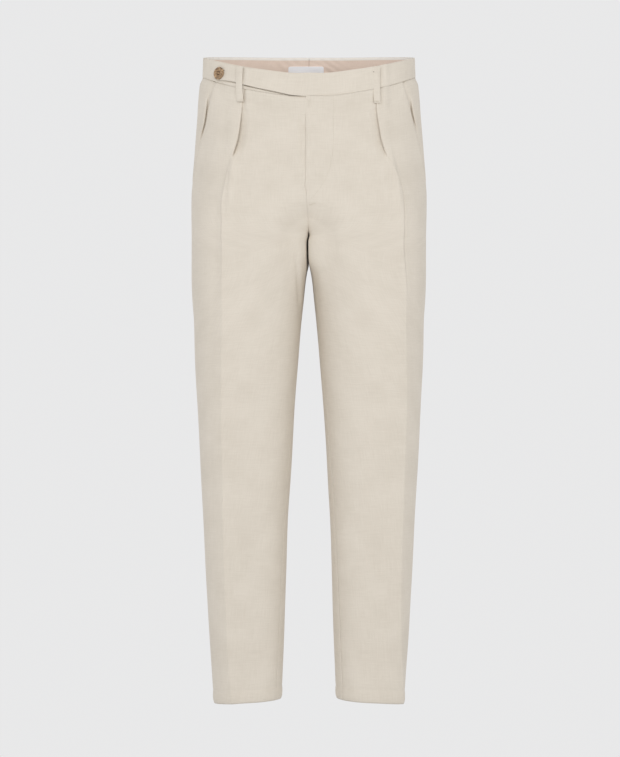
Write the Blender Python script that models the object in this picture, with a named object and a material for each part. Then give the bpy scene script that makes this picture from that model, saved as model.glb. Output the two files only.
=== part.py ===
"""Pleated wool trousers, hollow and filled out as they are when worn.

Every cut piece is its own closed wall of cloth, 0.3 mm from its neighbour at each seam. Sizes are in
millimetres here and become metres when a mesh is made. +X is the wearer's left, +Y the back, +Z up,
and the origin is the centre of the waist opening, level with the tops of the side seams.
"""
import math
from collections import namedtuple

import bmesh
import bpy
import numpy as np
from mathutils import Matrix, Vector

METRE = 0.001

# Driving sizes
HEM_HEIGHT = -1042.0
CROTCH = -290.0
SEAM_GAP = 0.3
CLOTH = 1.2
BAND_WALL = 2.2
LINING_WALL = 1.2
LABEL_WALL = 1.0
LOOP_WALL = 1.8
HEM_TURN_UP = 38.0
HEM_EXTRA = 0.9
HEM_TILT = 4.0
PLEAT_DEPTH = 13.0
PLEAT_LAYER = 1.7
PLEAT_SINK = 0.9
CREASE_LIFT = 4.2
HIP_STEP = 4.2
FLY_OVERLAP = 5.5
FLY_END = -222.0
FLY_LAYER = 1.7
POCKET_END = -224.0
POCKET_UNDERLAP = 14.0
TAB_REACH = 153.0
BUTTON_WIDTH = 20.5
BUTTON_PLACE = 141.2

# How far two legs' walls stay apart where they meet, and how round the fork is there
FORK_ROUND = 6.0
FORK_ARCH = 4.0
LEG_CLEARANCE = CLOTH / 2 + 0.35
LEAST_DIP = 0.02
WALK_SAMPLES = 401
SPREAD = 60.0

# Half-body sections, from the waist down. half_width and gap are the outer edges seen from the front,
# lobe is where each half is centred, centre is its middle from front to back, front and back are its
# depths there, square is the exponent of its outline, and the dips say how far the rise seams have
# curved under: 0 at the full depth, 1 at the crotch.
BODY_COLUMNS = ("height", "half_width", "lobe", "centre", "front", "back", "square",
                "front_dip", "back_dip", "gap")
BODY = np.array((
    (30.0, 170.8, 12.0, 2.0, 96.0, 96.0, 2.10, 0.02, 0.02, 0.0),
    (0.0, 171.6, 15.0, 2.0, 98.0, 97.0, 2.12, 0.02, 0.02, 0.0),
    (-40.0, 173.8, 22.0, 3.0, 104.0, 106.0, 2.15, 0.02, 0.04, 0.0),
    (-100.0, 182.8, 37.0, 6.0, 111.0, 121.0, 2.20, 0.03, 0.12, 0.0),
    (-170.0, 188.5, 56.0, 9.0, 116.0, 134.0, 2.22, 0.06, 0.26, 0.0),
    (-200.0, 190.6, 64.0, 10.0, 117.0, 136.0, 2.26, 0.14, 0.34, 0.0),
    (-230.0, 191.5, 73.0, 10.0, 117.0, 135.0, 2.42, 0.35, 0.46, 0.0),
    (-250.0, 191.5, 79.0, 9.5, 116.5, 133.0, 2.60, 0.60, 0.64, 0.0),
    (-268.0, 191.3, 84.0, 9.0, 116.0, 130.0, 2.75, 0.81, 0.83, 0.0),
    (-290.0, 190.9, 90.0, 8.0, 115.0, 125.5, 2.85, 1.0, 1.0, 0.0),
    (-330.0, 190.8, 95.0, 6.0, 112.0, 117.5, 2.85, 1.0, 1.0, 1.4),
    (-359.0, 190.7, 97.6, 4.0, 109.0, 112.0, 2.80, 1.0, 1.0, 4.8),
    (-391.0, 189.6, 98.8, 3.0, 106.0, 106.0, 2.75, 1.0, 1.0, 8.2),
    (-424.0, 187.2, 99.4, 1.0, 102.5, 101.0, 2.70, 1.0, 1.0, 11.6),
    (-489.0, 185.4, 101.2, 0.0, 97.0, 94.0, 2.62, 1.0, 1.0, 17.2),
    (-554.0, 182.4, 102.5, -1.0, 90.5, 87.5, 2.56, 1.0, 1.0, 22.4),
    (-619.0, 179.0, 102.8, -1.0, 84.5, 82.0, 2.52, 1.0, 1.0, 26.4),
    (-685.0, 175.4, 103.0, 0.0, 78.5, 77.0, 2.50, 1.0, 1.0, 30.4),
    (-750.0, 172.2, 103.4, 2.0, 73.5, 73.0, 2.50, 1.0, 1.0, 34.2),
    (-815.0, 169.2, 102.8, 4.0, 69.0, 69.0, 2.50, 1.0, 1.0, 36.4),
    (-880.0, 165.6, 102.0, 6.0, 65.5, 65.5, 2.50, 1.0, 1.0, 38.4),
    (-945.0, 162.0, 101.1, 8.0, 62.0, 62.5, 2.50, 1.0, 1.0, 40.4),
    (-1011.0, 157.6, 100.4, 10.0, 59.0, 59.5, 2.50, 1.0, 1.0, 43.0),
    (-1055.0, 155.4, 99.8, 11.0, 57.5, 58.0, 2.50, 1.0, 1.0, 44.4),
))

# Where each front's pleat and pressed crease lie: height, angle from the front in degrees
RIGHT_CREASE = np.array((
    (0.0, 29.4),
    (-56.0, 29.0),
    (-77.0, 27.8),
    (-102.0, 26.8),
    (-120.0, 26.5),
    (-140.0, 27.2),
    (-158.0, 28.0),
    (-176.0, 28.7),
    (-200.0, 29.7),
    (-230.0, 28.4),
    (-282.0, 21.1),
    (-346.0, 18.3),
    (-394.0, 18.5),
    (-489.0, 20.1),
    (-634.0, 22.9),
    (-850.0, 24.3),
    (-957.0, 23.5),
    (-1050.0, 19.4),
))
LEFT_CREASE = np.array((
    (0.0, 33.0),
    (-44.0, 32.0),
    (-60.0, 29.4),
    (-80.0, 28.0),
    (-100.0, 27.6),
    (-118.0, 27.4),
    (-133.0, 27.7),
    (-145.0, 28.5),
    (-157.0, 29.4),
    (-170.0, 31.2),
    (-184.0, 33.2),
    (-200.0, 35.1),
    (-216.0, 35.7),
    (-235.0, 34.4),
    (-313.0, 27.0),
    (-393.0, 30.3),
    (-489.0, 32.8),
    (-600.0, 36.2),
    (-812.0, 36.6),
    (-900.0, 39.9),
    (-957.0, 45.8),
    (-1021.0, 57.2),
    (-1050.0, 60.0),
))

# The other seams' angles round each leg, in degrees from its front towards its outer side
SEAM_COLUMNS = ("height", "side_seam", "inseam", "back_crease")
RIGHT_SEAMS = np.array((
    (0.0, 92.0, -90.0, 150.0),
    (-122.0, 92.0, -90.0, 155.0),
    (-228.0, 92.5, -90.0, 169.7),
    (-293.0, 94.0, -90.0, 178.9),
    (-360.0, 96.0, -87.0, 180.8),
    (-425.0, 98.0, -80.0, 183.0),
    (-620.0, 102.0, -70.0, 190.5),
    (-850.0, 106.0, -60.0, 197.0),
    (-1050.0, 108.0, -53.0, 201.9),
))
LEFT_SEAMS = np.array((
    (0.0, 92.0, -90.0, 150.0),
    (-122.0, 92.0, -90.0, 155.0),
    (-228.0, 92.5, -90.0, 169.7),
    (-293.0, 95.0, -90.0, 179.4),
    (-360.0, 98.0, -87.0, 181.5),
    (-425.0, 101.0, -80.0, 184.7),
    (-620.0, 108.0, -66.0, 195.0),
    (-850.0, 114.0, -56.0, 203.9),
    (-960.0, 119.0, -52.0, 207.9),
    (-1050.0, 125.0, -50.0, 212.0),
))

# The waistband: angle round the body, height of its top edge, its width down to its seam
BAND = np.array((
    (0.0, -31.7, 36.2),
    (5.0, -30.8, 36.2),
    (10.0, -28.9, 36.0),
    (20.0, -24.8, 35.6),
    (30.0, -20.8, 35.1),
    (40.0, -16.0, 34.4),
    (53.0, -9.5, 33.5),
    (75.0, -0.6, 31.8),
    (90.0, 3.4, 31.5),
    (120.0, 9.4, 32.6),
    (150.0, 12.6, 34.4),
    (180.0, 13.5, 35.5),
))

# The slanted pocket edge: height, angle
POCKET_EDGE = np.array((
    (0.0, 54.5),
    (-61.0, 57.4),
    (-87.0, 59.8),
    (-103.0, 61.4),
    (-124.0, 64.2),
    (-147.0, 67.5),
    (-185.0, 74.0),
    (-210.0, 82.4),
    (-224.0, 91.0),
))

# Rows of the leg panels: height on the outer side, height at the inner edge. They fan out at the fork.
ROW_COLUMNS = ("outer", "inner")
FORK_ROWS = (
    (-206, -206), (-222, -222), (-236, -236), (-249, -248), (-262, -259), (-274, -269), (-285, -277.5),
    (-295, -284), (-304, -288.3), (-312, -290), (-320, -291.7), (-329, -295.5), (-339, -302),
    (-350, -311), (-363, -323), (-378, -340), (-396, -363), (-420, -393), (-452, -434), (-494, -486),
)
PLEAT_LEVELS = (-40, -52, -66, -80, -94, -108, -122, -134, -146, -158, -172, -188)
POCKET_LEVELS = PLEAT_LEVELS + (-206, -222, -236)
SEAT_LEVELS = (-40, -58, -80, -104, -130, -156, -182)
LEG_LEVELS = (-546, -604, -666, -730, -796, -860, -920, -970, -1004, -1024, -1042)
FRONT_ROWS = tuple(zip(PLEAT_LEVELS, PLEAT_LEVELS)) + FORK_ROWS + tuple(zip(LEG_LEVELS, LEG_LEVELS))
BACK_ROWS = tuple(zip(SEAT_LEVELS, SEAT_LEVELS)) + FORK_ROWS + tuple(zip(LEG_LEVELS, LEG_LEVELS))
FAN_FRONT = (math.radians(20.0), math.radians(-60.0))
FAN_BACK = (math.radians(150.0), math.radians(240.0))
LIFT_FADE_FROM = -40.0
LIFT_FADE_TO = -250.0

RIGHT = -1
LEFT = 1
# How much further back each side's edge runs below its top, in degrees
POCKET_TURN = {RIGHT: -1.3, LEFT: 0.5}

Walk = namedtuple("Walk", "lengths points normals angles")


def smooth_curve(known, values, places):
    """Monotone cubic curve through a table's values, read at the given places."""
    order = np.argsort(known)
    known = np.asarray(known, dtype=float)[order]
    values = np.asarray(values, dtype=float)[order]
    steps = np.diff(known)
    slopes = np.diff(values) / steps
    tangents = np.zeros(len(known))
    tangents[0] = slopes[0]
    tangents[-1] = slopes[-1]
    before = slopes[:-1]
    after = slopes[1:]
    same_way = before * after > 0
    tangents[1:-1][same_way] = (2 * before * after)[same_way] / (before + after)[same_way]
    places = np.clip(np.asarray(places, dtype=float), known[0], known[-1])
    index = np.clip(np.searchsorted(known, places) - 1, 0, len(known) - 2)
    t = (places - known[index]) / steps[index]
    return ((1 + 2 * t) * (1 - t) ** 2 * values[index]
            + t * (1 - t) ** 2 * steps[index] * tangents[index]
            + t * t * (3 - 2 * t) * values[index + 1]
            + t * t * (t - 1) * steps[index] * tangents[index + 1])


def ease(value, start, end):
    """0 at start, 1 at end, level at both."""
    t = np.clip((value - start) / (end - start), 0.0, 1.0)
    return t * t * (3 - 2 * t)


def body(column, height):
    return smooth_curve(BODY[:, 0], BODY[:, BODY_COLUMNS.index(column)], height)


def seam_angle(side, column, height):
    table = LEFT_SEAMS if side == LEFT else RIGHT_SEAMS
    degrees = smooth_curve(table[:, 0], table[:, SEAM_COLUMNS.index(column)], height)
    return np.radians(degrees)


def crease_angle(side, height):
    table = LEFT_CREASE if side == LEFT else RIGHT_CREASE
    return np.radians(smooth_curve(table[:, 0], table[:, 1], height))


def band_heights(drop, share=0.0):
    """Heights of a line round the waistband: a drop below its top edge and a share of its width."""
    def height_at(angles):
        turned = np.degrees(np.abs((np.asarray(angles) + math.pi) % (2 * math.pi) - math.pi))
        top = smooth_curve(BAND[:, 0], BAND[:, 1], turned)
        return top - drop - share * smooth_curve(BAND[:, 0], BAND[:, 2], turned)
    return height_at


def pocket_angle(side, height):
    turn = POCKET_TURN[side] * ease(-np.asarray(height, dtype=float), 66.0, 116.0)
    return np.radians(smooth_curve(POCKET_EDGE[:, 0], POCKET_EDGE[:, 1], height) + turn)


def reaches(height):
    """Outer and inner reach of a half-body section from its lobe, at the wall's middle."""
    lobe = body("lobe", height)
    outer = body("half_width", height) - CLOTH / 2 - lobe
    arch = np.sqrt(np.clip((CROTCH - height) / FORK_ARCH, 0.0, 1.0))
    inner_edge = (body("gap", height) + LEG_CLEARANCE) * arch
    closed = lobe - np.sqrt(inner_edge ** 2 + FORK_ROUND ** 2)
    below = height < CROTCH
    front_dip = np.maximum(body("front_dip", height), LEAST_DIP)
    back_dip = np.maximum(body("back_dip", height), LEAST_DIP)
    inner_front = np.where(below, closed, (lobe - FORK_ROUND) / front_dip)
    inner_back = np.where(below, closed, (lobe - FORK_ROUND) / back_dip)
    return lobe, outer, inner_front, inner_back


def outline(angles, heights):
    """Points of the half body's middle surface; x is from the centre plane."""
    lobe, outer, inner_front, inner_back = reaches(heights)
    power = 2.0 / body("square", heights)
    sine = np.sin(angles)
    cosine = np.cos(angles)
    across = np.sign(sine) * np.abs(sine) ** power
    deep = np.sign(cosine) * np.abs(cosine) ** power
    inner = np.where(cosine >= 0, inner_front, inner_back)
    spread = lobe + np.where(sine >= 0, outer, inner) * across
    depth = np.where(cosine >= 0, body("front", heights), body("back", heights))
    x = np.sqrt(np.maximum(spread ** 2 - FORK_ROUND ** 2, 0.0))
    return np.stack((x, body("centre", heights) - depth * deep, heights), axis=-1)


def fullness(x, y, z):
    """Rises outwards through the middle surface, so its gradient is the cloth's normal."""
    lobe, outer, inner_front, inner_back = reaches(z)
    square = body("square", z)
    from_middle = y - body("centre", z)
    inner = np.where(from_middle <= 0, inner_front, inner_back)
    spread = np.sqrt(x ** 2 + FORK_ROUND ** 2) - lobe
    reach = np.where(spread >= 0, outer, inner)
    depth = np.where(from_middle <= 0, body("front", z), body("back", z))
    return np.abs(spread / reach) ** square + np.abs(from_middle / depth) ** square


def outward(points):
    step = 0.05
    slopes = []
    for axis in range(3):
        nudge = np.zeros(3)
        nudge[axis] = step
        ahead = points + nudge
        behind = points - nudge
        slopes.append(fullness(*ahead.T) - fullness(*behind.T))
    normals = np.stack(slopes, axis=-1)
    return normals / np.linalg.norm(normals, axis=-1, keepdims=True)


def rise_angle(dip_column, height_at, around):
    """How far past the lobe's middle a rise seam lies, settled on the row's own height there."""
    turn = 0.0
    for attempt in range(40):
        height = float(height_at(around(turn)))
        dip = max(float(body(dip_column, height)), LEAST_DIP)
        found = math.asin(dip ** (float(body("square", height)) / 2))
        turn += 0.5 * (found - turn)
    return turn


def walk_round(side, height_at):
    """Walk round one half of the body from its inner front edge to its inner back edge.

    Above the crotch both ends lie on the centre plane and the walk goes on a little past them, over
    the other half. Below it the walk is the whole leg and goes on a little past the inseam.
    """
    inner_height = float(height_at(-math.pi / 2))
    whole_leg = inner_height < CROTCH
    if whole_leg:
        start = float(seam_angle(side, "inseam", inner_height))
        end = start + 2 * math.pi
    else:
        start = -rise_angle("front_dip", height_at, lambda turn: -turn)
        end = math.pi + rise_angle("back_dip", height_at, lambda turn: math.pi + turn)
    angles = np.linspace(start, end, WALK_SAMPLES)
    points = outline(angles, height_at(angles))
    if not whole_leg:
        points[0, 0] = 0.0
        points[-1, 0] = 0.0
    normals = outward(points)
    steps = np.linalg.norm(np.diff(points, axis=0), axis=1)
    lengths = np.concatenate(((0.0,), np.cumsum(steps)))
    total = lengths[-1]
    head = (lengths > 0) & (lengths < SPREAD)
    tail = (lengths < total) & (lengths > total - SPREAD)
    if whole_leg:
        before = (lengths[tail] - total, points[tail], normals[tail], angles[tail] - 2 * math.pi)
        after = (lengths[head] + total, points[head], normals[head], angles[head] + 2 * math.pi)
    else:
        flip = np.array((-1.0, 1.0, 1.0))
        before = (-lengths[head][::-1], points[head][::-1] * flip, normals[head][::-1] * flip,
                  2 * start - angles[head][::-1])
        after = (2 * total - lengths[tail][::-1], points[tail][::-1] * flip, normals[tail][::-1] * flip,
                 2 * end - angles[tail][::-1])
    mirror = np.array((side, 1.0, 1.0))
    return Walk(
        np.concatenate((before[0], lengths, after[0])),
        np.concatenate((before[1], points, after[1])) * mirror,
        np.concatenate((before[2], normals, after[2])) * mirror,
        np.concatenate((before[3], angles, after[3])),
    ), total


def spot(walk, along, lift):
    """Points at given lengths along a walk, lifted off the middle surface."""
    points = np.stack([np.interp(along, walk.lengths, walk.points[:, axis]) for axis in range(3)], axis=-1)
    normals = np.stack([np.interp(along, walk.lengths, walk.normals[:, axis]) for axis in range(3)], axis=-1)
    normals /= np.linalg.norm(normals, axis=-1, keepdims=True)
    return points + normals * np.asarray(lift)[..., None]


def length_at(walk, angle):
    return float(np.interp(angle, walk.angles, walk.lengths))


def panel_heights(level, inner_level=None):
    """Heights of a panel's row: along the band's seam at the top, fanned at the fork, tilted at the hem."""
    inner_level = level if inner_level is None else inner_level

    def height_at(angles):
        seam = band_heights(SEAM_GAP, 1.0)(angles)
        fade = 1 - ease(-level, -LIFT_FADE_FROM, -LIFT_FADE_TO)
        tilt = ease(-level, 900.0, -HEM_HEIGHT) * HEM_TILT
        front_fan = 1 - ease(angles, FAN_FRONT[1], FAN_FRONT[0])
        back_fan = ease(angles, FAN_BACK[0], FAN_BACK[1])
        fan = np.maximum(front_fan, back_fan)
        return level + (inner_level - level) * fan + (seam - LIFT_FADE_FROM) * fade - tilt * np.sin(angles)
    return height_at


def offset_path(along, lift, amount):
    """A path in the plane of length and lift, moved to its left by an amount, mitred at its corners."""
    path = np.stack((along, lift), axis=-1)
    runs = np.diff(path, axis=0)
    runs /= np.linalg.norm(runs, axis=1, keepdims=True)
    sides = np.stack((-runs[:, 1], runs[:, 0]), axis=-1)
    first = np.concatenate((sides[:1], sides))
    second = np.concatenate((sides, sides[-1:]))
    mean = first + second
    mean /= np.linalg.norm(mean, axis=1, keepdims=True)
    mitre = np.maximum((mean * first).sum(axis=1), 0.5)
    amount = np.broadcast_to(amount, mitre.shape)
    return path + mean * (amount / mitre)[:, None]


def wall_row(walk, along, lift, thickness, extra_inside=0.0):
    """Outside and inside points of one row of a cloth wall."""
    outside = offset_path(along, lift, thickness / 2)
    inside = offset_path(along, lift, -thickness / 2 - extra_inside)
    return spot(walk, outside[:, 0], outside[:, 1]), spot(walk, inside[:, 0], inside[:, 1])


def pleat_path(level, walk, crease, side):
    """Fold of a front panel at its crease: three layers at the waist, released to a pressed ridge."""
    depth = PLEAT_DEPTH * (1 - ease(-level, 45.0, 150.0)) + PLEAT_LAYER + 0.8
    release = float(ease(-level, 142.0, 172.0))
    half = PLEAT_LAYER / 2
    folded = np.array((
        (-16.0, -0.5 * PLEAT_LAYER),
        (-3.0, -PLEAT_LAYER),
        (depth - half, -PLEAT_LAYER),
        (depth, -half),
        (depth - half, 0.0),
        (half, 0.0),
        (0.0, half),
        (half, PLEAT_LAYER),
        (depth + 4.0, 0.95 * PLEAT_LAYER),
        (depth + 18.0, 0.4 * PLEAT_LAYER),
    ))
    folded[:, 1] -= PLEAT_SINK * float(1 - ease(-level, 40.0, 110.0))
    spacing = np.array((-27.0, -17.0, -9.5, -4.5, -1.2, 1.2, 4.5, 9.0, 15.0, 24.0))
    inner_reach = 30.0
    outer_reach = 15.0 + 12.0 * float(ease(-level, 300.0, 520.0))
    ridge_reach = np.where(spacing < 0, inner_reach, outer_reach)
    ridge = CREASE_LIFT * np.clip(1 - np.abs(spacing) / ridge_reach, 0.0, 1.0) ** 1.6
    pressed = np.stack((spacing, ridge), axis=-1)
    path = folded * (1 - release) + pressed * release
    return crease + path[:, 0], path[:, 1]


def hip_step(walk, along, level):
    """The panels' fullness at the sides, eased on to the narrower waistband."""
    turned = np.degrees(np.interp(along, walk.lengths, walk.angles))
    around = ease(turned, 40.0, 72.0) * (1 - ease(turned, 108.0, 140.0))
    return HIP_STEP * around * ease(-level, 40.0, 50.0) * (1 - ease(-level, 58.0, 112.0))


def front_row(side, level, inner_level):
    walk, total = walk_round(side, panel_heights(level, inner_level))
    crease = length_at(walk, crease_angle(side, level))
    start = SEAM_GAP / 2
    raised = 0.0
    if side == LEFT:
        open_fly = float(1 - ease(-level, -FLY_END - 20.0, -FLY_END))
        start = SEAM_GAP / 2 - (FLY_OVERLAP + SEAM_GAP / 2) * open_fly
        raised = FLY_LAYER * float(1 - ease(-level, -FLY_END, -FLY_END + 24.0))
    if level > POCKET_END:
        end = min(length_at(walk, pocket_angle(side, level)),
                  length_at(walk, seam_angle(side, "side_seam", level)) - SEAM_GAP / 2)
        pocket_lift = 0.6 * float(1 - ease(-level, 195.0, 224.0))
    else:
        end = length_at(walk, seam_angle(side, "side_seam", level)) - SEAM_GAP / 2
        pocket_lift = 0.0
    fold_along, fold_lift = pleat_path(level, walk, crease, side)
    inner = start + (fold_along[0] - start) * np.array((0.0, 0.07, 0.16, 0.3, 0.46, 0.64, 0.82))
    outer = fold_along[-1] + (end - fold_along[-1]) * np.array((0.2, 0.4, 0.6, 0.8, 1.0))
    inner_lift = fold_lift[0] * ease(inner, start, fold_along[0])
    outer_lift = fold_lift[-1] * (1 - ease(outer, fold_along[-1], fold_along[-1] + 30.0))
    outer_lift = outer_lift + pocket_lift * ease(outer, end - 22.0, end)
    along = np.concatenate((inner, fold_along, outer))
    lift = np.concatenate((inner_lift, fold_lift, outer_lift))
    lift = lift + raised * (1 - ease(along, 11.0, 32.0)) + hip_step(walk, along, level)
    extra = HEM_EXTRA * float(ease(-level, -HEM_HEIGHT - HEM_TURN_UP - 2.0, -HEM_HEIGHT - HEM_TURN_UP + 2.0))
    return keep_off_centre(wall_row(walk, along, lift, CLOTH, extra), side, start)


def keep_off_centre(row, side, start):
    """Hold a row that starts at a centre seam half a seam gap off the centre plane."""
    if start > 0:
        for points in row:
            points[:, 0] = side * np.maximum(side * points[:, 0], SEAM_GAP / 2)
    return row


def back_row(side, level, inner_level):
    walk, total = walk_round(side, panel_heights(level, inner_level))
    start = length_at(walk, seam_angle(side, "side_seam", level)) + SEAM_GAP / 2
    end = total - SEAM_GAP / 2
    middle = length_at(walk, seam_angle(side, "back_crease", level))
    crease = np.array((-25.0, -9.0, 0.0, 9.0, 25.0))
    pressed = float(ease(-level, 320.0, 430.0))
    ridge = 0.85 * CREASE_LIFT * pressed * np.clip(1 - np.abs(crease) / 27.0, 0.0, 1.0) ** 1.6
    outer = start + (middle + crease[0] - start) * np.array((0.0, 0.25, 0.5, 0.75))
    inner = middle + crease[-1] + (end - middle - crease[-1]) * np.array((0.25, 0.5, 0.75, 1.0))
    along = np.concatenate((outer, middle + crease, inner))
    lift = np.concatenate((np.zeros(len(outer)), ridge, np.zeros(len(inner))))
    lift = lift + hip_step(walk, along, level)
    extra = HEM_EXTRA * float(ease(-level, -HEM_HEIGHT - HEM_TURN_UP - 2.0, -HEM_HEIGHT - HEM_TURN_UP + 2.0))
    return keep_off_centre(wall_row(walk, along, lift, CLOTH, extra), side, SEAM_GAP / 2)


def finish(colour, roughness):
    """A plain cloth or horn finish."""
    name = "finish_%02x%02x%02x" % tuple(int(255 * value) for value in colour)
    material = bpy.data.materials.get(name) or bpy.data.materials.new(name)
    material.use_nodes = True
    shader = material.node_tree.nodes["Principled BSDF"]
    shader.inputs["Base Color"].default_value = (*colour, 1.0)
    shader.inputs["Roughness"].default_value = roughness
    shader.inputs["Metallic"].default_value = 0.0
    return material


WOOL = ((0.69, 0.63, 0.56), 0.9)
LINING = ((0.62, 0.50, 0.41), 0.85)
LABEL_CLOTH = ((0.74, 0.75, 0.80), 0.8)
HORN = ((0.33, 0.22, 0.13), 0.35)
ZIP_TAPE = ((0.50, 0.45, 0.39), 0.7)


def new_object(name, shape, look):
    bmesh.ops.recalc_face_normals(shape, faces=shape.faces)
    if shape.calc_volume(signed=True) < 0:
        bmesh.ops.reverse_faces(shape, faces=shape.faces)
    mesh = bpy.data.meshes.new(name)
    shape.to_mesh(mesh)
    shape.free()
    mesh.shade_smooth()
    mesh.set_sharp_from_angle(angle=math.radians(40))
    mesh.materials.append(finish(*look))
    thing = bpy.data.objects.new(name, mesh)
    bpy.context.scene.collection.objects.link(thing)
    return thing


def cloth_wall(name, rows, look):
    """A closed wall from rows of outside and inside points: a grid, extruded and set in place."""
    columns = len(rows[0][0])
    shape = bmesh.new()
    bmesh.ops.create_grid(shape, x_segments=columns - 1, y_segments=len(rows) - 1, size=1.0)
    grown = bmesh.ops.extrude_face_region(shape, geom=shape.faces[:] + shape.edges[:], use_keep_orig=True)
    inside = {item for item in grown["geom"] if isinstance(item, bmesh.types.BMVert)}
    for vertex in shape.verts:
        column = round((vertex.co.x + 1) / 2 * (columns - 1))
        row = round((vertex.co.y + 1) / 2 * (len(rows) - 1))
        place = rows[row][1 if vertex in inside else 0][column]
        vertex.co = Vector(place) * METRE
    return new_object(name, shape, look)


def make_legs():
    for side, name in ((RIGHT, "right"), (LEFT, "left")):
        cloth_wall("front_" + name, [front_row(side, *row) for row in FRONT_ROWS], WOOL)
        cloth_wall("back_" + name, [back_row(side, *row) for row in BACK_ROWS], WOOL)


def make_pocket_sides():
    """The hip cloth under each slanted pocket edge, as far as the side seam."""
    for side, name in ((RIGHT, "right"), (LEFT, "left")):
        rows = []
        for level in POCKET_LEVELS:
            walk, total = walk_round(side, panel_heights(level))
            seam = length_at(walk, seam_angle(side, "side_seam", level)) - SEAM_GAP / 2
            edge = min(length_at(walk, pocket_angle(side, level)), seam)
            tucked = float(ease(-level, -POCKET_END - 30.0, -POCKET_END - 8.0))
            along = np.linspace(edge - POCKET_UNDERLAP, seam - 4.0 * tucked, 8)
            rise = ease(along, edge + 2.0, edge + 12.0) * (1 - tucked)
            lift = hip_step(walk, along, level) - (1.6 + 0.7 * tucked) * (1 - rise)
            rows.append(wall_row(walk, along, lift, CLOTH))
        cloth_wall("pocket_side_" + name, rows, WOOL)


BAND_LIFT = 0.4
BAND_OUTSIDE = BAND_LIFT + BAND_WALL / 2
BAND_INSIDE = BAND_LIFT - BAND_WALL / 2
TAB_LIFT = BAND_OUTSIDE + SEAM_GAP + BAND_WALL / 2
TAB_ROUND = 12.0
# The tab's edges: distance from the centre, drop under the band's top, rise over its lower edge
TAB_EDGE = np.array((
    (0.0, 0.0, 0.0),
    (40.0, 0.6, 3.6),
    (75.0, 1.4, 4.6),
    (106.0, 3.0, 6.4),
    (118.0, 2.6, 7.2),
    (134.0, 1.2, 6.4),
    (148.0, 0.8, 4.6),
))
BAND_ROWS = 4
BAND_COLUMNS = 31


def band_stations(total):
    return np.linspace(SEAM_GAP / 2, total - SEAM_GAP / 2, BAND_COLUMNS)


def length_at_x(walk, total, reach):
    """Length along a walk's front where it is a given distance from the centre plane."""
    ahead = (walk.lengths >= 0) & (walk.lengths <= total / 2)
    outwards = np.abs(walk.points[ahead, 0])
    order = np.argsort(outwards)
    return float(np.interp(reach, outwards[order], walk.lengths[ahead][order]))


def tab_drops(from_centre, tip):
    """How far the tab's edges lie under the band's top edge and over its lower edge."""
    top_drop = float(smooth_curve(TAB_EDGE[:, 0], TAB_EDGE[:, 1], from_centre))
    bottom_rise = float(smooth_curve(TAB_EDGE[:, 0], TAB_EDGE[:, 2], from_centre))
    to_tip = min(max(tip - from_centre, 0.0), TAB_ROUND)
    corner = min(TAB_ROUND - math.sqrt(TAB_ROUND ** 2 - (TAB_ROUND - to_tip) ** 2), 0.8 * TAB_ROUND)
    return top_drop + corner, bottom_rise + corner


def make_waistband():
    """Right half, and left half that goes on past the centre front as the tab."""
    rows = []
    for row in range(BAND_ROWS):
        walk, total = walk_round(RIGHT, band_heights(0.0, row / (BAND_ROWS - 1)))
        along = band_stations(total)
        rows.append(wall_row(walk, along, np.full(BAND_COLUMNS, BAND_LIFT), BAND_WALL))
    cloth_wall("waistband_right", rows, WOOL)

    tab_columns = 20
    rows = []
    for row in range(BAND_ROWS):
        share = row / (BAND_ROWS - 1)
        walk, total = walk_round(LEFT, band_heights(0.0, share))
        along = band_stations(total)[::-1]
        lift = BAND_LIFT + (TAB_LIFT - BAND_LIFT) * (1 - ease(along, 6.0, 40.0))
        outside = spot(walk, along, lift + BAND_WALL / 2)
        inside = spot(walk, along, lift - BAND_WALL / 2)
        right_walk, right_total = walk_round(RIGHT, band_heights(0.0))
        tip = length_at_x(right_walk, right_total, TAB_REACH)
        places = np.concatenate((np.linspace(0.0, tip - TAB_ROUND, tab_columns - 4),
                                 tip - TAB_ROUND * np.array((0.6, 0.3, 0.1, 0.0))))[1:]
        tab_outside = []
        tab_inside = []
        for place in places:
            top_drop, bottom_rise = tab_drops(place, tip)
            drop = top_drop * (1 - share) - bottom_rise * share
            level_walk, level_total = walk_round(RIGHT, band_heights(drop, share))
            angle = float(np.interp(place, right_walk.lengths, right_walk.angles))
            here = length_at(level_walk, angle)
            tab_outside.append(spot(level_walk, np.array([here]), np.array([TAB_LIFT + BAND_WALL / 2]))[0])
            tab_inside.append(spot(level_walk, np.array([here]), np.array([TAB_LIFT - BAND_WALL / 2]))[0])
        rows.append((np.concatenate((outside, tab_outside)), np.concatenate((inside, tab_inside))))
    cloth_wall("waistband_left", rows, WOOL)


FACING_LIFT = BAND_INSIDE - 1.5 * SEAM_GAP - LINING_WALL / 2
FACING_TOP_DROP = 4.0
FACING_RISE = 1.0
FACING_ROWS = 3
FACING_COLUMNS = 16
LABEL_LIFT = FACING_LIFT - LINING_WALL / 2 - 1.5 * SEAM_GAP - LABEL_WALL / 2
LABEL_LEFT = 24.5
LABEL_RIGHT = 34.5
LABEL_DROPS = (14.5, 24.5, 34.5)


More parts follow.
